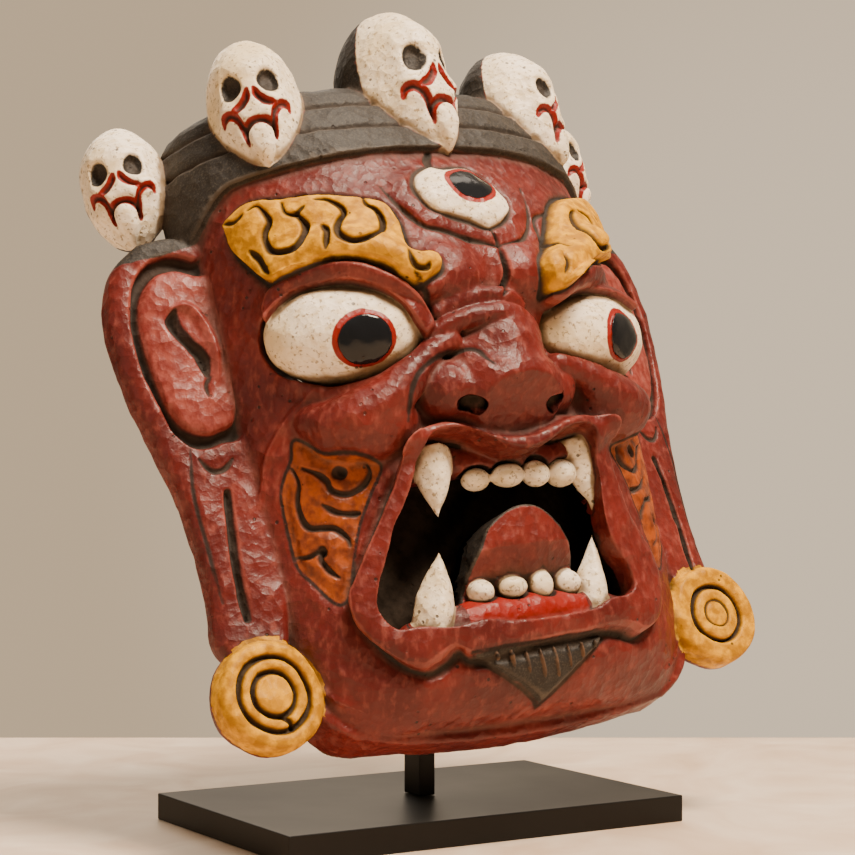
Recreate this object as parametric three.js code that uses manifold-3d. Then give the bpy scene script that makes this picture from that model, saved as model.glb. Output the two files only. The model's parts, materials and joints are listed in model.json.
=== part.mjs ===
// A carved and painted Tibetan cham mask, worn in masked monastery dance: a red wrathful face with
// three eyes, a bared mouth that opens right through the wood, long ears with round lobes, and a
// crown band of five small skulls. It hangs on the top of a flat steel post on a steel plate.
//
// Millimetres, +Z up. The origin is at the centre of the plate's underside, and the mask looks
// along -Y. The mask is drawn in its own upright frame: x to its left, y towards its back, z up,
// with the origin on the post's axis at the height of the nose bridge. Then it is leaned back.

import * as THREE from 'three';
import { mergeVertices } from 'three/addons/utils/BufferGeometryUtils.js';
import Module from 'manifold-3d';

const wasm = await Module();
wasm.setup();

// ---------------------------------------------------------------- driving dimensions

const PLATE = { width: 270, depth: 173, thick: 16 };
const POST = { width: 11, depth: 18.5, height: 372 };
const SEAT_GAP = 0.3;
const POSE = { height: 232, lean: 22, roll: 3.5 };

// The head block, seen from the front: height, depth of the front and half width there.
const HEAD_PROFILE = [
  [-187, -32, 108], [-180, -48, 120], [-165, -62, 130], [-145, -69, 136], [-110, -75, 140],
  [-60, -84, 141], [-20, -93, 141], [20, -104, 141], [60, -115, 141], [95, -113, 140],
  [130, -103, 139], [155, -94, 138], [180, -85, 134], [195, -78, 126], [203, -70, 114],
];
const HEAD = { low: -187, high: 203, back: 0, power: 2.3, sides: 28, levels: 11 };
const HOLLOW = { low: -162, high: 178, wall: 25, sideWall: 20, sides: 16, levels: 7 };

// The mouth is a blind cavity: a wall of wood is left standing between it and the wearer's hollow.
const MOUTH_WALL = { front: -35, back: -20, high: 20, thick: 15 };

// The crown band's three tiers, from the brow up: foot, head and how far each stands proud.
const CROWN_TIERS = [[150, 166.5, 5.5], [168.5, 184, 4.5], [186, 201, 3.5]];

// The skulls from the wearer's right to left: centre, half sizes, how far each turns outward and how
// far its chin stands forward.
const SKULLS = [
  { at: [-156, 4, 171], size: [27, 29, 39], turn: -42, jaw: 6 },
  { at: [-92, -58, 194], size: [28.5, 33, 41], turn: -36, jaw: 16 },
  { at: [0, -70, 207], size: [30.5, 41, 44], turn: 0, jaw: 22 },
  { at: [93, -55, 198], size: [28.5, 33, 40], turn: 36, jaw: 16 },
  { at: [156, 6, 183], size: [27, 29, 39], turn: 42, jaw: 6 },
];

// The skulls are cut flat behind, a little past the head's open back.
const SKULL_BACK = 12;

// Front plane of the ears: depth beside the face, and how fast the ears sweep back.
const EAR = { inner: 140, front: -28, sweep: 0.3, thick: 14 };
const EAR_OUTLINE = [
  [132, 118], [150, 127], [168, 125], [182, 112], [191, 95], [193, 72], [191, 42], [184, 8],
  [177, -22], [173, -56], [172, -90], [174, -118], [160, -130], [138, -125], [132, -60],
];
const EAR_GROOVE = [
  [138, 106], [154, 115], [170, 110], [180, 94], [183, 70], [181, 40], [174, 10], [162, -3],
  [146, -2], [138, 8],
];
const EAR_PAD = [
  [138, 95], [152, 103], [165, 100], [174, 88], [177, 68], [175, 40], [169, 15], [160, 5],
  [148, 5], [138, 16],
];
const LOBE = { x: 157, z: -146, drop: 6.5, radius: 31, thick: 17, front: -33 };

// The brows, lids, lips and mouth aren't quite a pair either side of the middle line.
const BROWS = {
  right: [
    [-126, 118], [-115, 126], [-102, 121], [-81, 117], [-65, 111], [-53, 105], [-50, 83], [-46, 70],
    [-35, 62], [-42, 52], [-57, 54], [-74, 68], [-91, 73], [-116, 71], [-125, 91],
  ],
  left: [
    [127, 116], [115, 125], [95, 120], [78, 113], [59, 97], [45, 74], [30, 62], [31, 44], [46, 50],
    [65, 61], [89, 72], [117, 73], [126, 97],
  ],
};
// The wearer's right eyeball is larger and sits higher.
const EYES = {
  right: { at: [-84, -80, 37], size: [46, 28, 30], turn: -22 },
  left: { at: [85, -80, 34], size: [45, 28, 27], turn: 22 },
};
const THIRD_EYE = [[-28, 122], [-10, 130], [13, 127], [26, 111], [25, 96], [8, 86], [-11, 88], [-24, 101]];
const THIRD_EYE_BALL = { at: [3, -93, 109], size: [22, 24, 19] };

const MOUTH = [
  [-60, -37], [-73, -64], [-91, -102], [-95, -115], [-84, -132], [-57, -137], [-16, -139], [25, -138],
  [51, -132], [70, -127], [61, -103], [57, -84], [58, -61], [52, -37], [30, -38], [4, -47], [-22, -41],
];
const MOUTH_BACK = -40;
const LIPS = [
  [-59, -18], [-65, -31], [-77, -57], [-99, -96], [-105, -121], [-89, -148], [-67, -155], [-51, -150],
  [-27, -154], [28, -151], [52, -147], [70, -152], [91, -133], [94, -111], [73, -74], [66, -36],
  [38, -26], [5, -34], [-30, -33], [-42, -23],
];
const BEARD = [[-42, -156], [42, -156], [22, -167], [3, -178], [-20, -167]];
const CHEEK_PANEL = [
  [120, -17], [125, -34], [129, -56], [127, -81], [122, -94], [113, -110], [103, -85], [90, -54],
  [82, -42], [103, -32],
];
const NOSE_UNDERSIDE = { normal: [0, 0.64, 0.768], offset: -87 };
const CHIN_LEDGE = [
  [136, -140], [133, -158], [124, -172], [108, -182], [84, -188], [50, -192], [0, -194],
];
const CHIN_LEDGE_FRONT = -28;

const RED = 0x9a3a35;
const BLACK_STEEL = 0x232120;

// ---------------------------------------------------------------- solids

/** A closed geometry as a solid, whichever way round its faces were drawn. */
function solidOf(geometry) {
  geometry.deleteAttribute('normal');
  geometry.deleteAttribute('uv');
  const merged = mergeVertices(geometry, 1e-4);
  const corners = Float32Array.from(merged.attributes.position.array);
  const faces = Uint32Array.from(merged.index.array);
  const build = () => new wasm.Manifold(new wasm.Mesh({
    numProp: 3, vertProperties: corners, triVerts: faces,
  }));
  const solid = build();
  if (solid.volume() > 0) return solid;
  for (let i = 0; i < faces.length; i += 3) {
    [faces[i], faces[i + 1]] = [faces[i + 1], faces[i]];
  }
  return build();
}

function joined(solids) {
  return solids.reduce((sum, solid) => sum.add(solid));
}

function geometryOf(solid) {
  const mesh = solid.getMesh();
  const geometry = new THREE.BufferGeometry();
  geometry.setAttribute('position', new THREE.BufferAttribute(Float32Array.from(mesh.vertProperties), 3));
  geometry.setIndex(Array.from(mesh.triVerts));
  geometry.computeVertexNormals();
  return geometry;
}

/** Depth of the front and half width of the head at a height, from the profile's rows. */
const profileCurve = new THREE.CubicInterpolant(
  HEAD_PROFILE.map(([z]) => z), HEAD_PROFILE.flatMap(([, front, half]) => [front, half]), 2,
);
function headAt(z) {
  const within = THREE.MathUtils.clamp(z, HEAD.low, HEAD.high);
  const [front, half] = profileCurve.evaluate(within);
  return { front, half };
}

/** Depth of the plain head's front at a place on it. */
function headFront(x, z) {
  const { front, half } = headAt(z);
  const across = Math.min(Math.abs(x) / half, 0.995);
  return HEAD.back + (front - HEAD.back) * (1 - across ** HEAD.power) ** (1 / HEAD.power);
}

function onHead(x, z, proud) {
  return new THREE.Vector3(x, headFront(x, z) - proud, z);
}

/** The head's block between two heights, its front moved out or in, its back flat. */
function headBlock({ low, high, proud = 0, sideProud = proud, back = HEAD.back, sides = HEAD.sides, levels }) {
  const geometry = new THREE.CylinderGeometry(1, 1, 1, sides, levels);
  const place = geometry.attributes.position;
  const frontSides = sides - 4;
  const bend = 2 / HEAD.power;
  for (let i = 0; i < place.count; i += 1) {
    const z = THREE.MathUtils.lerp(low, high, place.getY(i) + 0.5);
    const { front, half } = headAt(z);
    if (Math.hypot(place.getX(i), place.getZ(i)) < 0.5) {
      place.setXYZ(i, 0, (front + back) / 2, z);
    } else {
      const turn = Math.atan2(place.getX(i), place.getZ(i)) / (2 * Math.PI);
      const step = Math.round((turn + 0.5) * sides) - sides / 2;
      const onFront = Math.abs(step) <= frontSides / 2;
      const angle = onFront
        ? (step / frontSides) * Math.PI
        : Math.sign(step) * (0.5 + (Math.abs(step) - frontSides / 2) / 4) * Math.PI;
      const across = Math.sign(Math.sin(angle)) * Math.abs(Math.sin(angle)) ** bend;
      const depth = onFront ? Math.max(Math.cos(angle), 0) ** bend : 0;
      const x = (half + sideProud) * across;
      place.setXYZ(i, x, back + (front - proud - back) * depth, z);
    }
  }
  return solidOf(geometry);
}

function closedCurve(points, count) {
  const curve = new THREE.CatmullRomCurve3(
    points.map(([x, z]) => new THREE.Vector3(x, z, 0)), true, 'centripetal',
  );
  return curve.getPoints(count).slice(0, count).map(({ x, y }) => new THREE.Vector2(x, y));
}

/** A bar along the depth whose front view is an outline. */
function prism(points, front, back) {
  const shape = new THREE.Shape(points);
  const geometry = new THREE.ExtrudeGeometry(shape, { depth: back - front, bevelEnabled: false });
  geometry.rotateX(Math.PI / 2).translate(0, back, 0);
  return solidOf(geometry);
}

function mirroredOutline(half, floor) {
  const left = half.slice(1).reverse().map(([x, z]) => [-x, z]);
  return [...left, ...half, [0, floor]];
}

function sided(points, side) {
  return points.map(([x, z]) => [side * x, z]);
}

/** Carving that stands proud of the head by one height within an outline. */
function relief(points, proud) {
  const heights = points.map(({ y }) => y);
  const skin = headBlock({
    low: Math.min(...heights) - 2, high: Math.max(...heights) + 2, proud, levels: 5,
  });
  return prism(points, -170, -30).intersect(skin);
}

function ellipsoid(at, size, across, down, turn = 0) {
  const geometry = new THREE.SphereGeometry(1, across, down);
  geometry.rotateX(Math.PI / 2).scale(...size).rotateZ(turn).translate(...at);
  return solidOf(geometry);
}

/** A round roll of wood along a smooth line. */
function roll(points, radius, steps, sides = 3.5) {
  const ring = new THREE.Shape();
  ring.absarc(0, 0, radius, 0, 2 * Math.PI);
  const geometry = new THREE.ExtrudeGeometry(ring, {
    steps, curveSegments: sides, bevelEnabled: false, extrudePath: new THREE.CatmullRomCurve3(points),
  });
  return solidOf(geometry);
}

/** A pointed tooth from the middle of its root to its tip. */
function tooth(root, tip, width, sides = 6) {
  const length = root.distanceTo(tip);
  const profile = [[0, 0], [0.9, 0], [1, 0.3], [0.72, 0.65], [0.3, 0.93], [0, 1]];
  const geometry = new THREE.LatheGeometry(
    profile.map(([r, t]) => new THREE.Vector2((r * width) / 2, t * length)), sides,
  );
  const aim = tip.clone().sub(root).normalize();
  geometry.applyQuaternion(new THREE.Quaternion().setFromUnitVectors(new THREE.Vector3(0, 1, 0), aim));
  geometry.translate(...root.toArray());
  return solidOf(geometry);
}

// ---------------------------------------------------------------- the face

function crown() {
  const tiers = CROWN_TIERS.map(([low, high, proud]) => (
    headBlock({ low, high, proud, back: -6, levels: 1, sides: 26 })
  ));
  return joined(tiers);
}

const backCut = solidOf(new THREE.BoxGeometry(500, 100, 500).translate(0, 50 + SKULL_BACK, 0));

function skull({ at, size, turn, jaw }) {
  const [wide, deep, tall] = size;
  const geometry = new THREE.SphereGeometry(1, 11, 8);
  geometry.rotateX(Math.PI / 2);
  const place = geometry.attributes.position;
  for (let i = 0; i < place.count; i += 1) {
    const low = Math.min(place.getZ(i), 0);
    const narrow = 1 - 0.32 * low * low;
    place.setX(i, place.getX(i) * narrow);
    place.setY(i, place.getY(i) * narrow - (jaw / deep) * low * low);
  }
  geometry.scale(wide, deep, tall);
  let head = solidOf(geometry);
  for (const eye of [-1, 1]) {
    const hollow = ellipsoid([eye * wide * 0.46, -deep * 0.92, tall * 0.02], [6, 7, 6.5], 6, 5);
    head = head.subtract(hollow);
  }
  const placed = head.rotate([0, 0, turn]).translate(at);
  return placed.subtract(backCut);
}

/** A board of the ears' shape, swept back from beside the face. */
function earBoard(points, side, proud, thick) {
  const board = prism(sided(points, side).map(([x, z]) => new THREE.Vector2(x, z)), -thick, proud);
  const lift = EAR.front - EAR.sweep * EAR.inner;
  return board.warp((p) => { p[1] += lift + EAR.sweep * side * p[0]; });
}

function ear(side) {
  const smooth = (points, count) => closedCurve(points, count).map(({ x, y }) => [x, y]);
  const board = earBoard(smooth(EAR_OUTLINE, 30), side, EAR.thick, 0);
  const groove = earBoard(smooth(EAR_GROOVE, 18), side, 6, 3);
  const pad = earBoard(smooth(EAR_PAD, 16), side, 8, -0.5);
  const slot = earBoard([[151, -34], [157, -34], [158, -107], [155, -107]], side, 5, 3);
  return board.subtract(groove).add(pad).subtract(slot);
}

/** A round ear lobe with two ring grooves about a boss. */
function lobe(side) {
  const { radius, thick, front } = LOBE;
  const steps = [
    [0, 0], [radius, 0], [radius, thick - 2], [radius - 2, thick], [0.68 * radius, thick],
    [0.66 * radius, thick - 3.5], [0.56 * radius, thick - 3.5], [0.54 * radius, thick],
    [0.4 * radius, thick], [0.38 * radius, thick - 4], [0.28 * radius, thick - 4],
    [0.24 * radius, thick + 0.5], [0, thick + 1.5],
  ];
  const geometry = new THREE.LatheGeometry(steps.map(([r, t]) => new THREE.Vector2(r, t)), 16);
  geometry.rotateX(Math.PI).translate(side * LOBE.x, front + thick, LOBE.z + side * LOBE.drop);
  return solidOf(geometry);
}

function brow(side) {
  return relief(closedCurve(side < 0 ? BROWS.right : BROWS.left, 26), 10);
}

function eye(side) {
  const { at, size, turn } = side < 0 ? EYES.right : EYES.left;
  const ball = ellipsoid(at, size, 14, 9, THREE.MathUtils.degToRad(turn));
  const upper = [[126, 50, 2], [113, 66, 5], [92, 68, 8], [68, 55, 10], [46, 30, 10]];
  const line = upper.map(([px, pz, lift]) => onHead(side * px, pz, lift));
  return ball.add(roll(line, 7, 7, 3));
}

function forehead() {
  const parts = [relief(closedCurve(THIRD_EYE, 18), 5)];
  parts.push(ellipsoid(THIRD_EYE_BALL.at, THIRD_EYE_BALL.size, 10, 7));
  for (const side of [-1, 1]) {
    parts.push(ellipsoid([side * 25, -103, 61], [25, 20, 21], 10, 6));
    const fold = [[48, 27, 8], [28, 34, 9], [0, 36, 9]].map(([x, z, lift]) => onHead(side * x, z, lift));
    parts.push(roll(fold, 7, 4, 3));
  }
  return joined(parts);
}

/** A broad nose with rolled wings, cut off flat below. */
function nose() {
  const parts = [
    ellipsoid([0, -98, -8], [36, 29, 26], 12, 8),
    ellipsoid([0, -98, 18], [27, 23, 30], 10, 6),
  ];
  for (const side of [-1, 1]) {
    parts.push(ellipsoid([side * 36, -94, -6], [20, 20, 18], 10, 7));
  }
  const { normal, offset } = NOSE_UNDERSIDE;
  const trimmed = joined(parts).trimByPlane(normal, offset);
  const nostrils = [-1, 1].map((side) => ellipsoid([side * 29, -108, -26], [9, 9, 7], 6, 5));
  return trimmed.subtract(joined(nostrils));
}

function cheeks() {
  return joined([-1, 1].map((side) => (
    ellipsoid([side * 91, -72, -12], [36, 28, 21], 10, 7, THREE.MathUtils.degToRad(side * 25))
  )));
}

function mouthPart() {
  const lips = relief(closedCurve(LIPS, 34), 9);
  const chinTuft = relief(BEARD.map(([x, z]) => new THREE.Vector2(x, z)), 5);
  return lips.add(chinTuft);
}

function mouthHole() {
  return prism(closedCurve(MOUTH, 28), -170, MOUTH_BACK);
}

/** The wall behind the mouth, and the shelf over it that joins the wall to the face. */
function mouthWall() {
  const { front, back, high, thick } = MOUTH_WALL;
  const wall = new THREE.BoxGeometry(320, back - front, 220).translate(0, (front + back) / 2, high - 110);
  const shelf = new THREE.BoxGeometry(320, 120, thick).translate(0, back - 60, high - thick / 2);
  return solidOf(wall).add(solidOf(shelf));
}

/** The bar of gum between the fangs, as an arch from side to side. */
function gum(half, low, high, depth) {
  const points = [[-half, low], [half, low], [half, high], [-half, high]];
  const shape = points.map(([x, z]) => new THREE.Vector2(x, z));
  const skin = headBlock({ low: low - 1, high: high + 1, proud: -depth, levels: 1, sides: 24 });
  return prism(shape, -120, -45).intersect(skin);
}

function teeth() {
  const parts = [gum(66, -60, -44, 5), gum(76, -142, -122, 5)];
  const at = (x, z, proud) => onHead(x, z, proud);
  parts.push(tooth(at(-48, -34, -2), at(-54, -77, -5), 23), tooth(at(54, -34, -2), at(51, -80, -6), 22));
  parts.push(tooth(at(-65, -134, -4), at(-58, -96, -8), 27), tooth(at(43, -134, -4), at(49, -94, -8), 24));
  for (const [x, z] of [[-25, -56], [-3, -58], [18, -57], [36, -54]]) {
    parts.push(ellipsoid(at(x, z, -8).toArray(), [9, 9, 8.5], 6, 5));
  }
  for (const x of [-32, -13, 8, 27]) {
    parts.push(ellipsoid(at(x, -117, -11).toArray(), [8.5, 8, 8], 6, 5));
  }
  return joined(parts);
}

function tongue() {
  return ellipsoid([1, -46, -106], [37, 24, 33], 10, 7);
}

function mask() {
  const { wall, sideWall } = HOLLOW;
  const ledge = prism(closedCurve(mirroredOutline(CHIN_LEDGE.slice().reverse(), -140).slice(0, -1), 32),
    CHIN_LEDGE_FRONT, 0);
  const hollow = headBlock({
    low: HOLLOW.low, high: HOLLOW.high, proud: -wall, sideProud: -sideWall, back: 25,
    sides: HOLLOW.sides, levels: HOLLOW.levels,
  });
  const panels = [-1, 1].map((side) => {
    const outline = closedCurve(sided(CHEEK_PANEL, side), 18);
    const floor = headBlock({ low: -125, high: -5, proud: -3, levels: 4 });
    return prism(outline, -170, -20).subtract(floor);
  });
  const head = headBlock({ low: HEAD.low, high: HEAD.high, levels: HEAD.levels })
    .subtract(joined(panels));
  const outside = joined([
    head, ledge, crown(), ...SKULLS.map(skull), ear(-1), ear(1), lobe(-1), lobe(1), brow(-1), brow(1),
    eye(-1), eye(1), forehead(), nose(), cheeks(), mouthPart(),
  ]);
  return outside.subtract(hollow.subtract(mouthWall())).subtract(mouthHole()).add(teeth()).add(tongue());
}

// ---------------------------------------------------------------- the object

const group = new THREE.Group();

function addPiece(name, geometry, colour, metalness) {
  const finish = new THREE.MeshStandardMaterial({ color: colour, roughness: 0.5, metalness });
  const piece = new THREE.Mesh(geometry, finish);
  piece.name = name;
  return piece;
}

const plate = addPiece('stand_base', new THREE.BoxGeometry(PLATE.width, PLATE.depth, PLATE.thick), BLACK_STEEL, 0.6);
plate.position.z = PLATE.thick / 2;
group.add(plate);

const post = addPiece('stand_post', new THREE.BoxGeometry(POST.width, POST.depth, POST.height), BLACK_STEEL, 0.6);
post.position.z = PLATE.thick + SEAT_GAP + POST.height / 2;
group.add(post);

const carving = addPiece('mask', geometryOf(mask()), RED, 0);
carving.position.z = POSE.height;
carving.rotation.set(THREE.MathUtils.degToRad(-POSE.lean), THREE.MathUtils.degToRad(-POSE.roll), 0);
group.add(carving);

export default group;
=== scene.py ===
"""A carved and painted Tibetan cham mask on its black steel stand.

The mask is one block of wood. It is carved here the way a carver works: a head form is built up
with its cheeks, nose, lids and lips, the flat ornament is drawn on the skin and raised or cut, and
the hollow and the mouth are cut through last. Everything is drawn in the mask's own upright frame in
millimetres (x to its left, y to its back, z up) and leaned back on the post at the end.
"""

import json
import logging
import math
from dataclasses import dataclass, field
from enum import Enum
from typing import Callable, Sequence

import bpy
import numpy as np
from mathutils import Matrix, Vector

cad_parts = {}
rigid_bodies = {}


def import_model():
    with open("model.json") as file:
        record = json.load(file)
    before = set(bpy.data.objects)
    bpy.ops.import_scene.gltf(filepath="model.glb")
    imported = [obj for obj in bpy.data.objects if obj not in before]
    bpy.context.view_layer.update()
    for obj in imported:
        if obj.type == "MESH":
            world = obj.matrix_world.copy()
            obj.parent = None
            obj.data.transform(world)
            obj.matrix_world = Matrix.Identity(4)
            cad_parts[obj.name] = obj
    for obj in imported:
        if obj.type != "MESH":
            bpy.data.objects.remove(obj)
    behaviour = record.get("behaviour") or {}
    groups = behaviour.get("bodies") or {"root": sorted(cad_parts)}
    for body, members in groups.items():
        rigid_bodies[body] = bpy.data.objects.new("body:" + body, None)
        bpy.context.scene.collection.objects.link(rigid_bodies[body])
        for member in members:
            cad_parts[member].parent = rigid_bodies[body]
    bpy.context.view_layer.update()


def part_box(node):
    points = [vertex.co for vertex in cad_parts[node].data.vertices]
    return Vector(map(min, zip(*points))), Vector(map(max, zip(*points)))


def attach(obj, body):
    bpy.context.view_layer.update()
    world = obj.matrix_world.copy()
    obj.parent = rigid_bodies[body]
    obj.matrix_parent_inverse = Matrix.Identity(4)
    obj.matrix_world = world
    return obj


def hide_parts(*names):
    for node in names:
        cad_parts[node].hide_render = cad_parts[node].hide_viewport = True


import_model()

import openvdb
from mathutils import Matrix, Vector

LOG = logging.getLogger("cham_mask")
Array = np.ndarray
Point2 = tuple[float, float]
Point3 = tuple[float, float, float]

MM = 0.001
POSE_HEIGHT, POSE_LEAN, POSE_ROLL = 232.0, 22.0, 3.5
CELL = 1.0
TRIANGLES = 196_000
FAR = 14.0
# Half weights make a long edge cost more, so that no coat's edge is drawn out along one.
THIN_WEIGHT, LENGTH_COST = 0.5, 0.02


class Side(Enum):
    """A half of the mask, named for its wearer."""

    RIGHT = -1
    LEFT = 1


class Paint(Enum):
    """The coats and bare places on the wood, named as vertex attributes."""

    PAD = "pad"
    ORANGE = "orange"
    YELLOW = "yellow"
    WHITE = "white"
    VERMILION = "vermilion"
    BLACK = "black"
    PUPIL = "pupil"
    WOOD = "wood"
    # Painted shade: near-black paint inside the mouth's cavity and the nostrils, where shade falls.
    CAVITY_SHADE = "cavity_shade"


# ------------------------------------------------------------------ small arithmetic


def ease(value: Array, low: float, high: float) -> Array:
    """Smooth step from 0 at low to 1 at high."""
    t = np.clip((value - low) / (high - low), 0, 1)
    return t * t * (3 - 2 * t)


def soft_min(a: Array, b: Array, blend: float) -> Array:
    """The lesser of two distances, rounded where they meet.

    Args:
        a: First distance.
        b: Second distance.
        blend: Width in millimetres over which the two melt together.

    Returns:
        The joined distance.
    """
    if blend <= 0:
        return np.minimum(a, b)
    h = np.clip(blend - np.abs(a - b), 0, None) / blend
    return np.minimum(a, b) - h * h * (blend / 4)


def smooth_line(points: Sequence[Sequence[float]], closed: bool = False, steps: int = 5) -> Array:
    """A Catmull-Rom line through control points.

    Args:
        points: Control points of any dimension.
        closed: Whether the line returns to its start.
        steps: Points for each span.

    Returns:
        The points of the line, one a row.
    """
    given = np.asarray(points, float)
    count = len(given)
    if count < 3:
        return given
    spans = count if closed else count - 1
    t = np.linspace(0, 1, steps, endpoint=False)[:, None]
    rows = []
    for i in range(spans):
        if closed:
            a, b, c, d = (given[(i + k) % count] for k in (-1, 0, 1, 2))
        else:
            b, c = given[i], given[i + 1]
            a = given[i - 1] if i else 2 * b - c
            d = given[i + 2] if i + 2 < count else 2 * c - b
        rows.append(0.5 * (2 * b + (c - a) * t + (2 * a - 5 * b + 4 * c - d) * t**2
                           + (3 * b - a - 3 * c + d) * t**3))
    if not closed:
        rows.append(given[-1:])
    return np.vstack(rows)


def box_blur(values: Array, radius: int) -> Array:
    """A box blur along all three axes.

    Args:
        values: A grid.
        radius: Cells on each side of the middle one.

    Returns:
        The blurred grid, of the same shape.
    """
    out = values
    width = 2 * radius + 1
    for axis in range(3):
        pads = [(0, 0)] * 3
        pads[axis] = (radius + 1, radius)
        total = np.cumsum(np.pad(out, pads, mode="edge"), axis=axis, dtype=np.float32)
        high = [slice(None)] * 3
        low = [slice(None)] * 3
        high[axis] = slice(width, None)
        low[axis] = slice(0, -width)
        out = (total[tuple(high)] - total[tuple(low)]) / width
    return out


# ------------------------------------------------------------------ flat drawing


@dataclass(frozen=True)
class Stroke:
    """A line of a carver's gouge: its points, width and depth in millimetres (below 0 raises)."""

    points: Sequence[Point2]
    width: float = 2.6
    depth: float = 1.8
    closed: bool = False
    taper: float = 0.35

    def mirrored(self) -> "Stroke":
        """The same line on the other half."""
        return Stroke([(-u, v) for u, v in self.points], self.width, self.depth, self.closed, self.taper)


@dataclass
class Chart:
    """A flat sheet on which outlines and strokes become distances and heights."""

    low: Point2
    high: Point2
    pitch: float = 0.7

    def __post_init__(self) -> None:
        """Lays out the sheet's grid."""
        self.u = np.arange(self.low[0], self.high[0] + self.pitch, self.pitch, dtype=np.float32)
        self.v = np.arange(self.low[1], self.high[1] + self.pitch, self.pitch, dtype=np.float32)

    def blank(self, value: float = FAR) -> Array:
        """A sheet filled with one value."""
        return np.full((len(self.u), len(self.v)), value, np.float32)

    def window(self, low: Array, high: Array, margin: float) -> tuple[slice, slice]:
        """The part of the sheet round a box."""
        cuts = []
        for axis, line in ((0, self.u), (1, self.v)):
            a = int(np.searchsorted(line, low[axis] - margin))
            b = int(np.searchsorted(line, high[axis] + margin))
            cuts.append(slice(max(a, 0), max(b, 0)))
        return cuts[0], cuts[1]

    def along(self, line: Array, half: Array, closed: bool) -> Array:
        """Distance to a line of changing half width.

        Args:
            line: The line's points.
            half: Half width at each point.
            closed: Whether the last point joins the first.

        Returns:
            The sheet of distances, below 0 inside the line's width.
        """
        sheet = self.blank()
        ends = range(len(line) if closed else len(line) - 1)
        for i in ends:
            a, b = line[i], line[(i + 1) % len(line)]
            cut = self.window(np.minimum(a, b), np.maximum(a, b), FAR)
            du = self.u[cut[0]][:, None] - a[0]
            dv = self.v[cut[1]][None, :] - a[1]
            way = b - a
            t = np.clip((du * way[0] + dv * way[1]) / max(float(way @ way), 1e-6), 0, 1)
            near = np.hypot(du - t * way[0], dv - t * way[1])
            wide = half[i] + t * (half[(i + 1) % len(line)] - half[i])
            np.minimum(sheet[cut], near - wide, out=sheet[cut])
        return sheet

    def stroke(self, stroke: Stroke) -> Array:
        """Distance to one stroke, which thins towards its ends."""
        line = smooth_line(stroke.points, stroke.closed)
        t = np.linspace(0, 1, len(line))
        thin = np.ones_like(t) if stroke.closed else np.clip(
            stroke.taper + 5 * (1 - stroke.taper) * np.minimum(t, 1 - t), 0, 1)
        return self.along(line, thin * stroke.width / 2, stroke.closed)

    def fill(self, outline: Sequence[Point2], smooth: bool = True) -> Array:
        """Signed distance to a closed outline.

        Args:
            outline: Its points.
            smooth: Whether the outline curves through them.

        Returns:
            The sheet of distances, below 0 inside.
        """
        line = smooth_line(outline, closed=True) if smooth else np.asarray(outline, float)
        edge = self.along(line, np.zeros(len(line)), True)
        inside = np.zeros(edge.shape, bool)
        cut = self.window(line.min(0), line.max(0), 2)
        u, v = self.u[cut[0]][:, None], self.v[cut[1]][None, :]
        part = inside[cut]
        for a, b in zip(line, np.roll(line, -1, axis=0)):
            if a[1] != b[1]:
                crosses = (a[1] > v) != (b[1] > v)
                part ^= crosses & (u < (b[0] - a[0]) * (v - a[1]) / (b[1] - a[1]) + a[0])
        return np.where(inside, -edge, edge)

    def read(self, sheet: Array, u: Array, v: Array) -> Array:
        """The sheet's value at places, between its cells."""
        fu = np.clip((u - self.low[0]) / self.pitch, 0, len(self.u) - 1.01)
        fv = np.clip((v - self.low[1]) / self.pitch, 0, len(self.v) - 1.01)
        iu, iv = fu.astype(np.int32), fv.astype(np.int32)
        tu, tv = (fu - iu).astype(np.float32), (fv - iv).astype(np.float32)
        flat = sheet.ravel()
        at = iu * sheet.shape[1] + iv
        low = flat[at] * (1 - tv) + flat[at + 1] * tv
        at = at + sheet.shape[1]
        high = flat[at] * (1 - tv) + flat[at + 1] * tv
        return low * (1 - tu) + high * tu


@dataclass
class Ornament:
    """A sheet of carved heights with the gouge lines and coats of paint drawn on it."""

    chart: Chart
    height: Array = field(init=False)
    gouge: Array = field(init=False)
    coats: dict[Paint, Array] = field(default_factory=dict)

    def __post_init__(self) -> None:
        """Starts with a plain skin."""
        self.height = self.chart.blank(0)
        self.gouge = self.chart.blank()

    def coat(self, paint: Paint, sheet: Array, spread: float = 0.0) -> None:
        """Paints where a sheet of distances is below spread."""
        known = self.coats.get(paint, self.chart.blank())
        self.coats[paint] = np.minimum(known, sheet - spread)

    def raise_area(self, outline: Sequence[Point2], proud: float, edge: float = 2.5, dome: float = 0.0,
                   dome_width: float = 12.0, paint: Paint | None = None, moat: float = 0.0,
                   smooth: bool = True) -> Array:
        """Raises, or for a proud below 0 sinks, the area within an outline.

        Args:
            outline: The closed outline.
            proud: How far its top stands off the skin.
            edge: Width of its sloping side.
            dome: How much higher its middle is than its rim.
            dome_width: Distance from the rim at which the dome levels out.
            paint: Its coat.
            moat: Depth of the cut round its foot.
            smooth: Whether the outline curves through its points.

        Returns:
            The sheet of distances to the outline.
        """
        sheet = self.chart.fill(outline, smooth)
        self.height += proud * ease(-sheet, -edge * 0.35, edge * 0.65)
        if dome:
            self.height += dome * (1 - (1 - np.clip(-sheet / dome_width, 0, 1)) ** 2)
        if moat:
            self.height -= moat * np.exp(-(((sheet - 1.6) / 1.5) ** 2))
            self.gouge = np.minimum(self.gouge, np.abs(sheet - 1.5) - 0.9)
        if paint:
            self.coat(paint, sheet, 0.7)
        return sheet

    def cut(self, strokes: Sequence[Stroke], paint: Paint | None = None) -> None:
        """Cuts strokes into the skin.

        Args:
            strokes: The lines.
            paint: A coat along them.
        """
        for stroke in strokes:
            sheet = self.chart.stroke(stroke)
            self.height -= stroke.depth * ease(-sheet, -0.9, stroke.width / 2)
            if stroke.depth > 0:
                self.gouge = np.minimum(self.gouge, sheet)
            if paint:
                self.coat(paint, sheet, 0.6)


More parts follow.
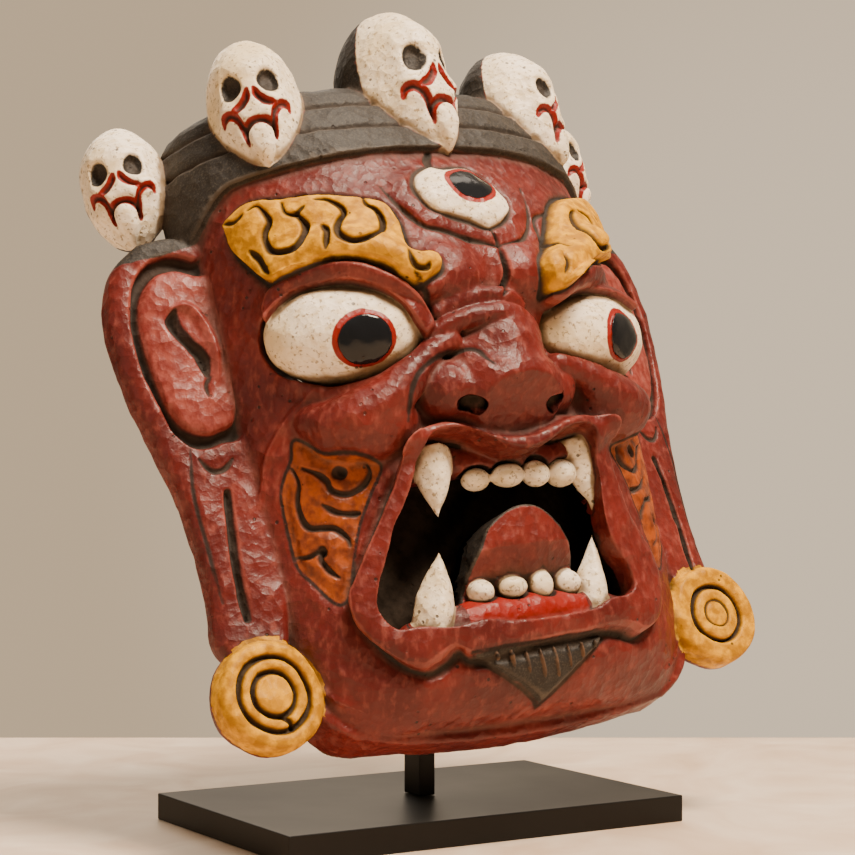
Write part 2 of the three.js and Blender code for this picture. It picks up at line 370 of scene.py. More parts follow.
# ------------------------------------------------------------------ solid forms


@dataclass(frozen=True)
class Ball:
    """An ellipsoid turned about the upright axis, and tipped about its own cross axis."""

    at: Point3
    size: Point3
    turn: float = 0.0
    tip: float = 0.0

    def reach(self) -> tuple[Array, Array]:
        """Its lowest and highest corners."""
        wide = max(self.size)
        return np.array(self.at) - wide, np.array(self.at) + wide

    def distance(self, x: Array, y: Array, z: Array) -> Array:
        """Signed distance, near enough close to the surface."""
        c, s = math.cos(math.radians(self.turn)), math.sin(math.radians(self.turn))
        dx, dy, dz = x - self.at[0], y - self.at[1], z - self.at[2]
        u, v = dx * c + dy * s, dy * c - dx * s
        if self.tip:
            c, s = math.cos(math.radians(self.tip)), math.sin(math.radians(self.tip))
            u, dz = u * c + dz * s, dz * c - u * s
        a, b, d = self.size
        near = np.sqrt((u / a) ** 2 + (v / b) ** 2 + (dz / d) ** 2) + 1e-6
        slope = np.sqrt((u / a**2) ** 2 + (v / b**2) ** 2 + (dz / d**2) ** 2) + 1e-9
        return near * (near - 1) / slope


@dataclass(frozen=True)
class Roll:
    """A round roll along a smooth line, its radius given at each control point."""

    points: Sequence[Point3]
    radii: Sequence[float]
    straight: bool = False

    def line(self) -> Array:
        """Its points and radii, one a row."""
        rows = [(*p, r) for p, r in zip(self.points, self.radii)]
        return np.asarray(rows, float) if self.straight else smooth_line(rows, steps=4)

    def reach(self) -> tuple[Array, Array]:
        """Its lowest and highest corners."""
        line = self.line()
        wide = line[:, 3].max()
        return line[:, :3].min(0) - wide, line[:, :3].max(0) + wide

    def distance(self, x: Array, y: Array, z: Array) -> Array:
        """Signed distance to the nearest span."""
        line = self.line().astype(np.float32)
        best = None
        for a, b in zip(line, line[1:]):
            way = b[:3] - a[:3]
            dx, dy, dz = x - a[0], y - a[1], z - a[2]
            t = np.clip((dx * way[0] + dy * way[1] + dz * way[2]) / max(float(way @ way), 1e-6), 0, 1)
            near = np.sqrt((dx - t * way[0]) ** 2 + (dy - t * way[1]) ** 2 + (dz - t * way[2]) ** 2)
            near = near - (a[3] + t * (b[3] - a[3]))
            best = near if best is None else np.minimum(best, near)
        return best


@dataclass(frozen=True)
class Fang:
    """A pointed tooth with four soft facets, along a straight line from root to tip."""

    root: Point3
    tip: Point3
    wide: float
    bulge: float = 0.25

    def reach(self) -> tuple[Array, Array]:
        """Its lowest and highest corners."""
        ends = np.array([self.root, self.tip], float)
        return ends.min(0) - self.wide, ends.max(0) + self.wide

    def distance(self, x: Array, y: Array, z: Array) -> Array:
        """Signed distance, near enough close to the surface."""
        root, tip = np.array(self.root), np.array(self.tip)
        way = tip - root
        length = float(np.linalg.norm(way))
        way = way / length
        cross = np.cross(way, (0, 1, 0))
        cross = cross / np.linalg.norm(cross)
        front = np.cross(way, cross)
        dx, dy, dz = x - root[0], y - root[1], z - root[2]
        t = (dx * way[0] + dy * way[1] + dz * way[2]) / length
        u = np.abs(dx * cross[0] + dy * cross[1] + dz * cross[2])
        v = np.abs(dx * front[0] + dy * front[1] + dz * front[2])
        near = (u**1.45 + v**1.45) ** (1 / 1.45)
        reach = np.clip(t, 0, 1)
        wide = self.wide * np.clip(1 - reach**1.5, 0, 1) * (1 + self.bulge * np.sin(np.pi * reach))
        return np.maximum(0.82 * (near - wide), np.maximum(t - 1, -t) * length)


@dataclass(frozen=True)
class Cluster:
    """Forms melted together and cut off flat on one side."""

    forms: Sequence
    blend: float
    normal: Point3
    offset: float

    def reach(self) -> tuple[Array, Array]:
        """Its lowest and highest corners."""
        ends = [form.reach() for form in self.forms]
        return np.min([low for low, _ in ends], axis=0), np.max([high for _, high in ends], axis=0)

    def distance(self, x: Array, y: Array, z: Array) -> Array:
        """Signed distance to the cut-off cluster."""
        near = self.forms[0].distance(x, y, z)
        for form in self.forms[1:]:
            near = soft_min(near, form.distance(x, y, z), self.blend)
        a, b, c = self.normal
        return -soft_min(-near, a * x + b * y + c * z - self.offset, 0.8)


@dataclass
class Board:
    """A board whose outline and carved front are drawn in the front view, with rounded edges."""

    chart: Chart
    outline: Array
    front: Array
    back: float
    sweep: float = 0.0
    sweep_from: float = 0.0
    rounding: float = 3.0
    folded: bool = False

    def reach(self) -> tuple[Array, Array]:
        """Its lowest and highest corners."""
        low, high = self.chart.low, self.chart.high
        left = -high[0] if self.folded else low[0]
        front = float(self.front[self.outline < 4].min())
        return np.array([left, front - 4, low[1]]), np.array([high[0], self.back + 24, high[1]])

    def distance(self, x: Array, y: Array, z: Array) -> Array:
        """Signed distance to the board."""
        u = np.abs(x) if self.folded else x
        u, v = np.broadcast_arrays(u, z)
        side = self.chart.read(self.outline, u, v)
        lift = self.sweep * (u - self.sweep_from)
        face = np.maximum(self.chart.read(self.front, u, v) + lift - y, y - self.back - lift)
        r = self.rounding
        a, b = side + r, face + r
        return np.hypot(np.maximum(a, 0), np.maximum(b, 0)) + np.minimum(np.maximum(a, b), 0) - r


@dataclass
class Patch:
    """Distances on a block's own grid, kept so that a form made as a mesh can be painted."""

    low: Array
    values: Array
    cell: float

    def reach(self) -> tuple[Array, Array]:
        """Its lowest and highest corners."""
        return self.low, self.low + self.cell * (np.array(self.values.shape) - 1)

    def distance(self, x: Array, y: Array, z: Array) -> Array:
        """The distance at places, between the grid's cells."""
        flat = self.values.ravel()
        shape = self.values.shape
        at, part = [], []
        for place, start, count in zip((x, y, z), self.low, shape):
            f = np.clip((place - start) / self.cell, 0, count - 1.01)
            i = f.astype(np.int32)
            at.append(i)
            part.append((f - i).astype(np.float32))
        out = 0
        for i in (0, 1):
            for j in (0, 1):
                for k in (0, 1):
                    weight = ((part[0] if i else 1 - part[0]) * (part[1] if j else 1 - part[1])
                              * (part[2] if k else 1 - part[2]))
                    index = ((at[0] + i) * shape[1] + at[1] + j) * shape[2] + at[2] + k
                    out = out + weight * flat[index]
        return out


@dataclass(frozen=True)
class Both:
    """Where two forms overlap."""

    one: object
    other: object

    def reach(self) -> tuple[Array, Array]:
        """The lowest and highest corners of their overlap."""
        low_a, high_a = self.one.reach()
        low_b, high_b = self.other.reach()
        return np.maximum(low_a, low_b), np.minimum(high_a, high_b)

    def distance(self, x: Array, y: Array, z: Array) -> Array:
        """Signed distance to the overlap."""
        return np.maximum(self.one.distance(x, y, z), self.other.distance(x, y, z))


@dataclass(frozen=True)
class Swollen:
    """A form grown all round by a few millimetres."""

    form: object
    grown: float

    def reach(self) -> tuple[Array, Array]:
        """Its lowest and highest corners."""
        low, high = self.form.reach()
        return low - self.grown, high + self.grown

    def distance(self, x: Array, y: Array, z: Array) -> Array:
        """Signed distance to the grown form."""
        return self.form.distance(x, y, z) - self.grown


@dataclass
class Block:
    """The block of wood, as signed distances on a grid."""

    low: Point3 = (-202.0, -142.0, -200.0)
    high: Point3 = (202.0, 16.0, 252.0)
    cell: float = CELL

    def __post_init__(self) -> None:
        """Starts with nothing but air."""
        self.axes = [np.arange(a, b, self.cell, dtype=np.float32) for a, b in zip(self.low, self.high)]
        self.values = np.full([len(a) for a in self.axes], FAR, np.float32)

    def window(self, low: Array, high: Array, margin: float = 0.0) -> tuple[slice, ...]:
        """The grid's part round a box."""
        cuts = []
        for line, a, b in zip(self.axes, low, high):
            start = int(np.searchsorted(line, a - margin))
            stop = int(np.searchsorted(line, b + margin))
            cuts.append(slice(max(start - 1, 0), min(stop + 1, len(line))))
        return tuple(cuts)

    def places(self, cut: tuple[slice, ...]) -> tuple[Array, Array, Array]:
        """The window's coordinates, ready to broadcast."""
        x, y, z = (line[part] for line, part in zip(self.axes, cut))
        return x[:, None, None], y[None, :, None], z[None, None, :]

    def unite(self, form, blend: float = 0.0) -> None:
        """Adds a form, melting it in over blend millimetres."""
        cut = self.window(*form.reach(), 4 + blend)
        near = np.asarray(form.distance(*self.places(cut)), np.float32)
        self.values[cut] = soft_min(self.values[cut], near, blend)

    def cut(self, form, blend: float = 0.0) -> None:
        """Takes a form away."""
        window = self.window(*form.reach(), 4 + blend)
        near = np.asarray(form.distance(*self.places(window)), np.float32)
        self.values[window] = -soft_min(-self.values[window], near, blend)

    def patch(self, points: Array, corners: Array, margin: float = 6.0) -> Patch:
        """Signed distances to a closed mesh, on this grid.

        Args:
            points: The mesh's points in millimetres.
            corners: Its triangles.
            margin: Distance in millimetres to which they are true.

        Returns:
            The patch, which can be united and painted like any form.
        """
        cut = self.window(points.min(0), points.max(0), margin)
        low = np.array([line[part.start] for line, part in zip(self.axes, cut)])
        shape = [part.stop - part.start for part in cut]
        band = margin / self.cell
        grid = openvdb.FloatGrid.createLevelSetFromPolygons(
            (points - low).astype(np.float32), triangles=corners.astype(np.uint32),
            transform=openvdb.createLinearTransform(voxelSize=self.cell), halfWidth=band)
        values = np.full(shape, margin, np.float32)
        grid.copyToArray(values, ijk=(0, 0, 0))
        return Patch(low, values, self.cell)

    def surface(self) -> tuple[Array, Array]:
        """The wood's surface: its points in millimetres and its four-cornered faces."""
        grid = openvdb.FloatGrid()
        grid.background = 3.0
        grid.copyFromArray(np.clip(self.values / self.cell, -3, 3).astype(np.float32))
        points, _, quads = grid.convertToPolygons(isovalue=0.0, adaptivity=0.0)
        return points * self.cell + np.array([line[0] for line in self.axes]), quads


# ------------------------------------------------------------------ Blender helpers


def add_node(tree: bpy.types.NodeTree, kind: str, inputs: dict | None = None, **settings) -> bpy.types.Node:
    """Adds a node with its settings, values and links.

    Args:
        tree: The tree it goes in.
        kind: The node's type name.
        inputs: Socket name or number to a value, or to the output socket that feeds it.
        settings: The node's own properties.

    Returns:
        The node.
    """
    node = tree.nodes.new(kind)
    for name, value in settings.items():
        setattr(node, name, value)
    for name, value in (inputs or {}).items():
        if isinstance(value, bpy.types.NodeSocket):
            tree.links.new(value, node.inputs[name])
        else:
            node.inputs[name].default_value = value
    return node


def linear(colour: str) -> tuple[float, float, float, float]:
    """A hex sRGB colour as linear red, green, blue and alpha."""
    parts = [int(colour[i:i + 2], 16) / 255 for i in (1, 3, 5)]
    values = [c / 12.92 if c <= 0.04045 else ((c + 0.055) / 1.055) ** 2.4 for c in parts]
    return (*values, 1.0)


def mesh_arrays(mesh: bpy.types.Mesh) -> tuple[Array, Array]:
    """A mesh's points and triangles as arrays."""
    points = np.empty(len(mesh.vertices) * 3, np.float32)
    mesh.vertices.foreach_get("co", points)
    mesh.calc_loop_triangles()
    corners = np.empty(len(mesh.loop_triangles) * 3, np.int32)
    mesh.loop_triangles.foreach_get("vertices", corners)
    return points.reshape(-1, 3), corners.reshape(-1, 3)


def new_mesh(name: str, points: Array, faces: Array) -> bpy.types.Mesh:
    """A mesh of faces that all have the same number of corners."""
    mesh = bpy.data.meshes.new(name)
    corners = faces.shape[1]
    mesh.vertices.add(len(points))
    mesh.vertices.foreach_set("co", np.asarray(points, np.float32).ravel())
    mesh.loops.add(faces.size)
    mesh.loops.foreach_set("vertex_index", faces.astype(np.int32).ravel())
    mesh.polygons.add(len(faces))
    mesh.polygons.foreach_set("loop_start", np.arange(0, faces.size, corners, dtype=np.int32))
    mesh.update(calc_edges=True)
    return mesh


def shown(name: str, mesh: bpy.types.Mesh) -> bpy.types.Object:
    """An object for a mesh, in the scene."""
    piece = bpy.data.objects.new(name, mesh)
    bpy.context.scene.collection.objects.link(piece)
    return piece


def evaluated(piece: bpy.types.Object) -> bpy.types.Mesh:
    """The piece's mesh with its modifiers worked out."""
    graph = bpy.context.evaluated_depsgraph_get()
    return bpy.data.meshes.new_from_object(piece.evaluated_get(graph))


@dataclass
class NodeForm:
    """A form that Geometry Nodes make: a tree with named inputs, run once for each set of sizes."""

    name: str
    inputs: dict[str, float]
    build: Callable[[bpy.types.NodeTree, dict], bpy.types.NodeSocket]

    def __post_init__(self) -> None:
        """Builds the tree."""
        self.tree = bpy.data.node_groups.new(self.name, "GeometryNodeTree")
        face = self.tree.interface
        self.ids = {}
        for name, value in self.inputs.items():
            kind = "NodeSocketInt" if isinstance(value, int) else "NodeSocketFloat"
            socket = face.new_socket(name, in_out="INPUT", socket_type=kind)
            socket.default_value = value
            self.ids[name] = socket.identifier
        face.new_socket("Geometry", in_out="OUTPUT", socket_type="NodeSocketGeometry")
        given = self.tree.nodes.new("NodeGroupInput")
        sockets = {name: given.outputs[name] for name in self.inputs}
        made = self.build(self.tree, sockets)
        real = add_node(self.tree, "GeometryNodeRealizeInstances", {"Geometry": made})
        dressed = add_node(self.tree, "GeometryNodeSetMaterial", {"Geometry": real.outputs[0]})
        add_node(self.tree, "NodeGroupOutput", {"Geometry": dressed.outputs[0]})

    def make(self, **sizes: float) -> tuple[Array, Array]:
        """Runs the tree.

        Args:
            sizes: Values for its named inputs, with underscores for spaces.

        Returns:
            The form's points and triangles.
        """
        holder = shown(self.name, bpy.data.meshes.new(self.name))
        modifier = holder.modifiers.new("Form", "NODES")
        modifier.node_group = self.tree
        for name, value in sizes.items():
            modifier[self.ids[name.replace("_", " ")]] = value
        arrays = mesh_arrays(evaluated(holder))
        bpy.data.objects.remove(holder)
        return arrays


# ------------------------------------------------------------------ the head's form


@dataclass
class HeadForm:
    """The plain block of the head: a D-shaped section whose depth and width change with height."""

    rows: Sequence[Point3] = (
        (-187, -32, 108), (-180, -48, 120), (-165, -62, 130), (-145, -69, 136), (-110, -75, 140),
        (-60, -84, 141), (-20, -93, 141), (20, -104, 141), (60, -115, 141), (95, -113, 140),
        (130, -103, 139), (155, -94, 138), (180, -85, 134), (195, -78, 126), (203, -70, 114))
    low: float = -187.0
    high: float = 203.0
    power: float = 2.3
    proud: float = 0.0
    side_proud: float = 0.0

    def __post_init__(self) -> None:
        """Smooths the profile, and measures the way round a typical section."""
        self.table = smooth_line(self.rows, steps=8)
        turn = np.linspace(0, math.pi / 2, 400)
        bend = 2 / self.power
        x, y = 141 * np.sin(turn) ** bend, 100 * np.cos(turn) ** bend
        self.angles = np.arctan2(x / 141, y / 100)
        self.arcs = np.concatenate([[0], np.cumsum(np.hypot(np.diff(x), np.diff(y)))])

    def section(self, z: Array) -> tuple[Array, Array]:
        """Depth of the front, above 0, and half width at a height."""
        heights = self.table[:, 0]
        deep = -np.interp(z, heights, self.table[:, 1]) + self.proud
        wide = np.interp(z, heights, self.table[:, 2]) + self.side_proud
        return deep.astype(np.float32), wide.astype(np.float32)

    def front(self, x: float, z: float, proud: float = 0.0) -> Point3:
        """A point on the front of the plain head, or proud of it."""
        deep, wide = self.section(np.asarray(z, float))
        across = min(abs(x) / float(wide), 0.995)
        return x, -float(deep) * (1 - across**self.power) ** (1 / self.power) - proud, z

    def unroll(self, x: Array, y: Array, z: Array) -> Array:
        """Distance round the skin from the middle line, below 0 on the wearer's right."""
        deep, wide = self.section(z)
        turn = np.arctan2(np.abs(x) / wide, np.maximum(-y, 0) / deep)
        return np.sign(x) * np.interp(turn, self.angles, self.arcs).astype(np.float32)

    def at(self, s: float, z: float, lift: float = 0.0) -> Point3:
        """A point of the unrolled skin, s millimetres round from the middle, or lifted off it."""
        deep, wide = (float(c) for c in self.section(np.asarray(z, float)))
        lean = math.tan(float(np.interp(abs(s), self.arcs, self.angles)))
        p = self.power
        b = (1 + lean**p) ** (-1 / p)
        a = lean * b
        out_x, out_y = a ** (p - 1) / wide, b ** (p - 1) / deep
        scale = lift / math.hypot(out_x, out_y)
        return math.copysign(a * wide + out_x * scale, s), -b * deep - out_y * scale, z

    def seen(self, points: Sequence[Point2]) -> list[Point2]:
        """Places on the unrolled skin as front-view points."""
        return [(self.at(s, z)[0], z) for s, z in points]

    def reach(self) -> tuple[Array, Array]:
        """Its lowest and highest corners."""
        return np.array([-150.0, -125.0, self.low]), np.array([150.0, 5.0, self.high])

    def shell(self, x: Array, y: Array, z: Array) -> Array:
        """Signed distance to the head's wall, without its top, foot and back."""
        deep, wide = self.section(z)
        a = np.abs(x) / wide
        b = np.maximum(-y, 0) / deep
        p = self.power
        r = np.maximum((a**p + b**p) ** (1 / p), 0.05)
        slope = np.sqrt(((a / r) ** (p - 1) / wide) ** 2 + ((b / r) ** (p - 1) / deep) ** 2)
        return (r - 1) / slope

    def distance(self, x: Array, y: Array, z: Array) -> Array:
        """Signed distance to the closed block."""
        near = -soft_min(-self.shell(x, y, z), -(self.low - z), 8)
        near = np.maximum(near, z - self.high)
        return np.maximum(near, y)


HEAD = HeadForm()
HOLLOW = HeadForm(low=-162, high=178, proud=-25, side_proud=-20)


def mirrored(points: Sequence[Sequence[float]], side: Side) -> list[tuple]:
    """Points of the wearer's left half, on either half."""
    return [(side.value * p[0], *p[1:]) for p in points]


def on_skin(points: Sequence[Point3], side: Side = Side.LEFT) -> list[Point3]:
    """Points given as the way round the skin, the height and how far they stand off it."""
    return [HEAD.at(side.value * s, z, lift) for s, z, lift in points]


# ------------------------------------------------------------------ ornament on the head


@dataclass
class Skin:
    """What is drawn on the head's skin: crown tiers, brows, third eye, cheek panels, lips, beard."""

    chart: Chart = field(default_factory=lambda: Chart((-222, -204), (222, 216)))

    brow_right = ((-142, 120), (-125, 126), (-108, 121), (-92, 119), (-80, 116), (-66, 111), (-54, 105),
                  (-50, 90), (-50, 72), (-39, 68), (-35, 62), (-37, 56), (-49, 50), (-57, 54), (-65, 62),
                  (-80, 70), (-94, 73), (-117, 71), (-125, 71), (-134, 83), (-142, 98), (-143, 113))
    brow_left = ((132, 117), (120, 124), (100, 120), (80, 114), (68, 106), (58, 94), (45, 74), (30, 62),
                 (28, 53), (31, 44), (38, 44), (48, 52), (64, 62), (80, 68), (96, 74), (110, 76), (120, 84),
                 (129, 98))
    third_eye = ((-18, 130), (-27, 124), (-31, 114), (-27, 101), (-16, 95), (-6, 91), (4, 86), (10, 87),
                 (18, 91), (25, 98), (26, 106), (21, 117), (15, 125), (8, 130), (-8, 129))
    panel_right = ((-130, -17), (-133, -26), (-140, -36), (-144, -48), (-143, -81), (-135, -94),
                   (-121, -110), (-113, -98), (-103, -72), (-92, -54), (-84, -42), (-91, -37), (-108, -32),
                   (-117, -27))
    lips = ((-60, -30), (-69, -40), (-78, -57), (-104, -96), (-111, -106), (-112, -121), (-106, -135),
            (-94, -149), (-80, -156), (-68, -154), (-57, -149), (-49, -154), (-29, -154), (1, -152), (29, -151),
            (50, -148), (62, -149), (75, -152), (88, -146), (96, -133), (98, -111), (84, -93), (74, -74),
            (70, -50), (66, -36), (58, -27), (38, -27), (18, -34), (5, -38), (-11, -38), (-30, -30),
            (-42, -26), (-52, -26))
    opening = ((-60, -35), (-75, -64), (-87, -83), (-102, -113), (-103, -123), (-95, -133), (-80, -134),
               (-59, -137), (-40, -136), (-17, -139), (10, -139), (38, -137), (53, -132), (65, -131),
               (73, -126), (71, -115), (61, -102), (57, -84), (58, -61), (57, -43), (51, -34), (30, -36),
               (18, -42), (4, -46), (-8, -45), (-22, -39), (-33, -33), (-48, -31))
    beard = ((-47, -154), (-20, -153), (0, -153), (22, -152), (48, -151), (30, -163), (3, -181), (-22, -168))

    def __post_init__(self) -> None:
        """Draws everything."""
        self.ornament = Ornament(self.chart)
        self.crown()
        self.brows()
        self.forehead()
        self.cheek_panels()
        self.mouth()

    def crown(self) -> None:
        """Three tiers of the crown band, which runs down to the ears at the sides."""
        u, v = self.chart.u[:, None], self.chart.v[None, :]
        foot = 146 - 4 * ease(np.abs(u), 30, 110) - 28 * ease(np.abs(u), 128, 182) + 0 * v
        rise = 5.5 * ease(v - foot, -1.2, 1.4)
        for tier in (165.0, 184.0):
            self.ornament.gouge = np.minimum(self.ornament.gouge, np.abs(v - tier) - 1.1 + 0 * u)
            rise = rise - 3.2 * np.exp(-(((v - tier) / 1.4) ** 2))
            rise = rise - 1.3 * ease(v + 0 * u, tier + 0.5, tier + 2)
        above = v > foot - 3
        self.ornament.height += np.where(above, rise, 0)
        self.ornament.coat(Paint.BLACK, np.clip(foot - v, -FAR, FAR), 0.8)

    def brows(self) -> None:
        """Raised flame-like eyebrows with curling gouge lines, and the sharp ledges over the eyes."""
        draw = self.ornament
        ledge = ((-133, 60), (-122, 71), (-108, 73.5), (-93, 72.5), (-78, 67.5), (-64, 58), (-52, 47),
                 (-43, 36), (-42, 27), (-47, 22), (-52, 28), (-58, 39), (-68, 49), (-83, 57), (-98, 61),
                 (-114, 61), (-125, 55), (-131, 50))
        far = ((32, 40), (40, 50), (54, 58), (70, 61), (88, 60), (104, 54), (110, 44), (103, 41), (86, 47),
               (66, 47), (50, 43), (40, 37))
        for outline in (ledge, far):
            draw.raise_area(outline, 5.0, 2.0, dome=1.4, dome_width=6)
        for outline in (self.brow_right, self.brow_left):
            draw.raise_area(outline, 7.4, 2.4, dome=3.0, dome_width=16, paint=Paint.YELLOW, moat=1.4)
        draw.cut((
            Stroke(((-125, 119), (-120, 120), (-117, 114), (-116, 107), (-120, 101), (-121, 95), (-119, 88),
                    (-114, 84), (-107, 83), (-102, 88), (-99, 97), (-101, 105), (-104, 107), (-107, 110),
                    (-107, 117)), 3.7, 3.8),
            Stroke(((-104, 107), (-100, 108), (-96, 111)), 2.8, 2.6),
            Stroke(((-90, 114), (-84, 112), (-79, 106), (-78, 100), (-82, 95), (-84, 89), (-83, 83),
                    (-78, 78), (-71, 78), (-63, 83), (-60, 91), (-61, 99), (-65, 104), (-65, 110)), 3.7,
                    3.8),
            Stroke(((-91, 95), (-89, 89), (-90, 83), (-92, 77)), 3.4, 3.2),
            Stroke(((-131, 94), (-127, 87), (-124, 79), (-122, 74)), 3.4, 3.2),
            Stroke(((-141, 118), (-134, 115), (-128, 118)), 2.8, 2.6),
            Stroke(((-52, 68), (-52, 60), (-50, 56), (-45, 55), (-43, 58)), 3.0, 3.0),
            Stroke(((80, 103), (90, 99), (90, 87), (79, 73), (68, 70), (65, 82), (70, 96), (76, 102)), 3.6,
                   3.8),
            Stroke(((101, 110), (105, 94), (99, 78)), 3.2, 3.2),
            Stroke(((118, 112), (122, 96), (115, 82)), 3.2, 3.2),
            Stroke(((38, 62), (37, 55), (34, 49)), 2.8, 2.8),
        ))

    def forehead(self) -> None:
        """The third eye's white, standing proud, and the creases round it."""
        draw = self.ornament
        bulge = self.chart.fill(((-38, 128), (-45, 108), (-36, 90), (-10, 79), (10, 75), (30, 80), (42, 95),
                                 (46, 112), (36, 128), (0, 138)))
        draw.height += 2.6 * ease(-bulge, -4, 8)
        draw.raise_area(self.third_eye, 2.0, 1.8, dome=4.6, dome_width=17, paint=Paint.WHITE, moat=1.4)
        draw.cut((
            Stroke(((-51, 121), (-45, 103), (-36, 90), (-24, 85), (-10, 79), (2, 76), (11, 73)), 2.6, 2.2),
            Stroke(((11, 74), (22, 76), (30, 79), (37, 85), (42, 94), (45, 104), (49, 119)), 2.6, 2.0),
            Stroke(((10, 72), (9, 63), (9, 56), (6, 48), (1, 41)), 3.0, 3.4),
            Stroke(((7, 84), (9, 78), (10, 73)), 2.4, 2.2),
            Stroke(((61, 101), (48, 95), (46, 84), (46, 74), (47, 68)), 2.4, 2.0),
            Stroke(((-6, 145), (-12, 138), (-14, 131)), 4.5, 2.6, taper=0.1),
            Stroke(((-42, 34), (-45, 45), (-52, 54)), 2.4, 1.4),
        ))

    def cheek_panels(self) -> None:
        """Sunk panels behind the jaw, carved with curling flames."""
        draw = self.ornament
        curls = (
            Stroke(((-129, -32), (-121, -37), (-115, -43), (-113, -49), (-104, -53), (-95, -50), (-90, -44),
                    (-91, -39)), 3.2, 3.2),
            Stroke(((-120, -55), (-113, -61), (-105, -64), (-100, -64)), 3.2, 3.0),
            Stroke(((-136, -30), (-132, -40), (-135, -50), (-134, -60), (-130, -66), (-122, -68),
                    (-115, -70), (-110, -76), (-109, -81)), 3.2, 3.2),
            Stroke(((-143, -79), (-134, -81), (-127, -80), (-127, -85), (-123, -92), (-118, -97)), 3.0, 3.0),
            Stroke(((-108, -40), (-106, -41)), 7.0, 4.0, taper=1.0),
            Stroke(((-125, -80), (-124.5, -81)), 6.0, 3.6, taper=1.0),
        )
        for side in Side:
            outline = [(-side.value * u, v) for u, v in self.panel_right]
            draw.raise_area(outline, -2.2, 2.0, dome=3.0, dome_width=12, paint=Paint.ORANGE, moat=1.2)
            draw.cut(curls if side is Side.RIGHT else [s.mirrored() for s in curls])
            jaw = ((-111, 7), (-126, 1), (-138, -9), (-148, -20), (-156, -36), (-164, -57), (-169, -78),
                   (-171, -101), (-166, -123), (-155, -146), (-137, -164), (-110, -177))
            draw.cut((Stroke([(-side.value * u, v) for u, v in jaw], 6.0, -1.8, taper=0.2),))

    def mouth(self) -> None:
        """The lips' flat band, the groove of the nose wings and the tuft of beard below."""
        draw = self.ornament
        sheet = draw.raise_area(self.lips, 6.0, 3.0, dome=2.4, dome_width=12)
        under = ease(-self.chart.v[None, :], 46, 56)
        draw.gouge = np.minimum(draw.gouge, np.abs(sheet - 2.0) - 0.9 + 9 * (1 - under))
        draw.height -= 2.6 * np.exp(-(((sheet - 3.0) / 2.4) ** 2)) * under
        draw.raise_area(self.beard, 3.6, 2.0, paint=Paint.BLACK, moat=0.8, smooth=False)
        draw.cut((Stroke(((-62, -24), (-60, -15), (-55, -2), (-47, 6), (-37, 11), (-26, 12), (-20, 9),
                          (-17, 2), (-15, -2)), 2.2, 1.0),))

    def press(self, block: Block) -> None:
        """Moves the block's surface out and in by the drawn heights."""
        part = np.abs(block.values) < FAR - 0.5
        part[:, block.axes[1] > -1.0, :] = False
        ix, iy, iz = np.nonzero(part)
        x, y, z = block.axes[0][ix], block.axes[1][iy], block.axes[2][iz]
        s = HEAD.unroll(x, y, z)
        fade = ease(-y, 1.0, 9.0)
        block.values[ix, iy, iz] -= self.chart.read(self.ornament.height, s, z) * fade


# ------------------------------------------------------------------ ears


@dataclass
class Ears:
    """Long flat ears with a rolled rim, a padded inner ear and round painted lobes."""

    front: float = -28.0
    thick: float = 14.0
    sweep: float = 0.3
    inner: float = 140.0
    outline = ((128, 112), (140, 122), (152, 127), (168, 125), (182, 113), (190, 96), (193, 72), (191, 42),
               (184, 8), (177, -22), (173, -56), (172, -90), (174, -118), (162, -132), (138, -128),
               (130, -60))
    groove = ((132, 100), (141, 109), (153, 114), (168, 110), (179, 94), (183, 70), (181, 40), (174, 10),
              (163, -4), (148, -4), (134, 8))
    pad = ((134, 90), (143, 100), (153, 104), (165, 101), (174, 89), (178, 68), (176, 40), (170, 15),
           (160, 4), (148, 4), (137, 16))

    def __post_init__(self) -> None:
        """Draws both ears at once, as seen on the wearer's left."""
        chart = Chart((118, -140), (202, 136), 0.6)
        draw = Ornament(chart)
        outline = chart.fill(self.outline)
        groove, pad = chart.fill(self.groove), chart.fill(self.pad)
        draw.height += 2.6 * (1 - (1 - np.clip(-outline / 8, 0, 1)) ** 2)
        ring = np.maximum(groove, -pad)
        draw.height -= 7.0 * ease(-ring, -1.0, 2.4)
        draw.gouge = np.minimum(draw.gouge, ring + 0.8)
        draw.height += 2.4 * (1 - (1 - np.clip(-pad / 12, 0, 1)) ** 2)
        draw.coat(Paint.PAD, pad, 0.4)
        draw.cut((
            Stroke(((159, 78), (161, 70), (156, 59), (150, 49), (149, 37)), 7.5, 6.0),
            Stroke(((163, -11), (160, -17), (156, -20), (150, -19), (145, -14)), 2.8, 2.4),
            Stroke(((152, -33), (155, -58), (157, -84), (157, -107)), 4.6, 5.0, taper=0.8),
            Stroke(((147, 36), (151, 31), (151, 24)), 2.0, 1.6),
            Stroke(((166, -2), (170, -30), (169, -62), (168, -96)), 1.6, 0.8),
        ))
        draw.cut((Stroke(((161, 80), (152, 80), (146, 71), (142, 53), (144, 34)), 8.0, -3.4),))
        self.draw = draw
        front = self.front - draw.height
        self.board = Board(chart, outline, front, self.front + self.thick, self.sweep, self.inner, 4.0, True)


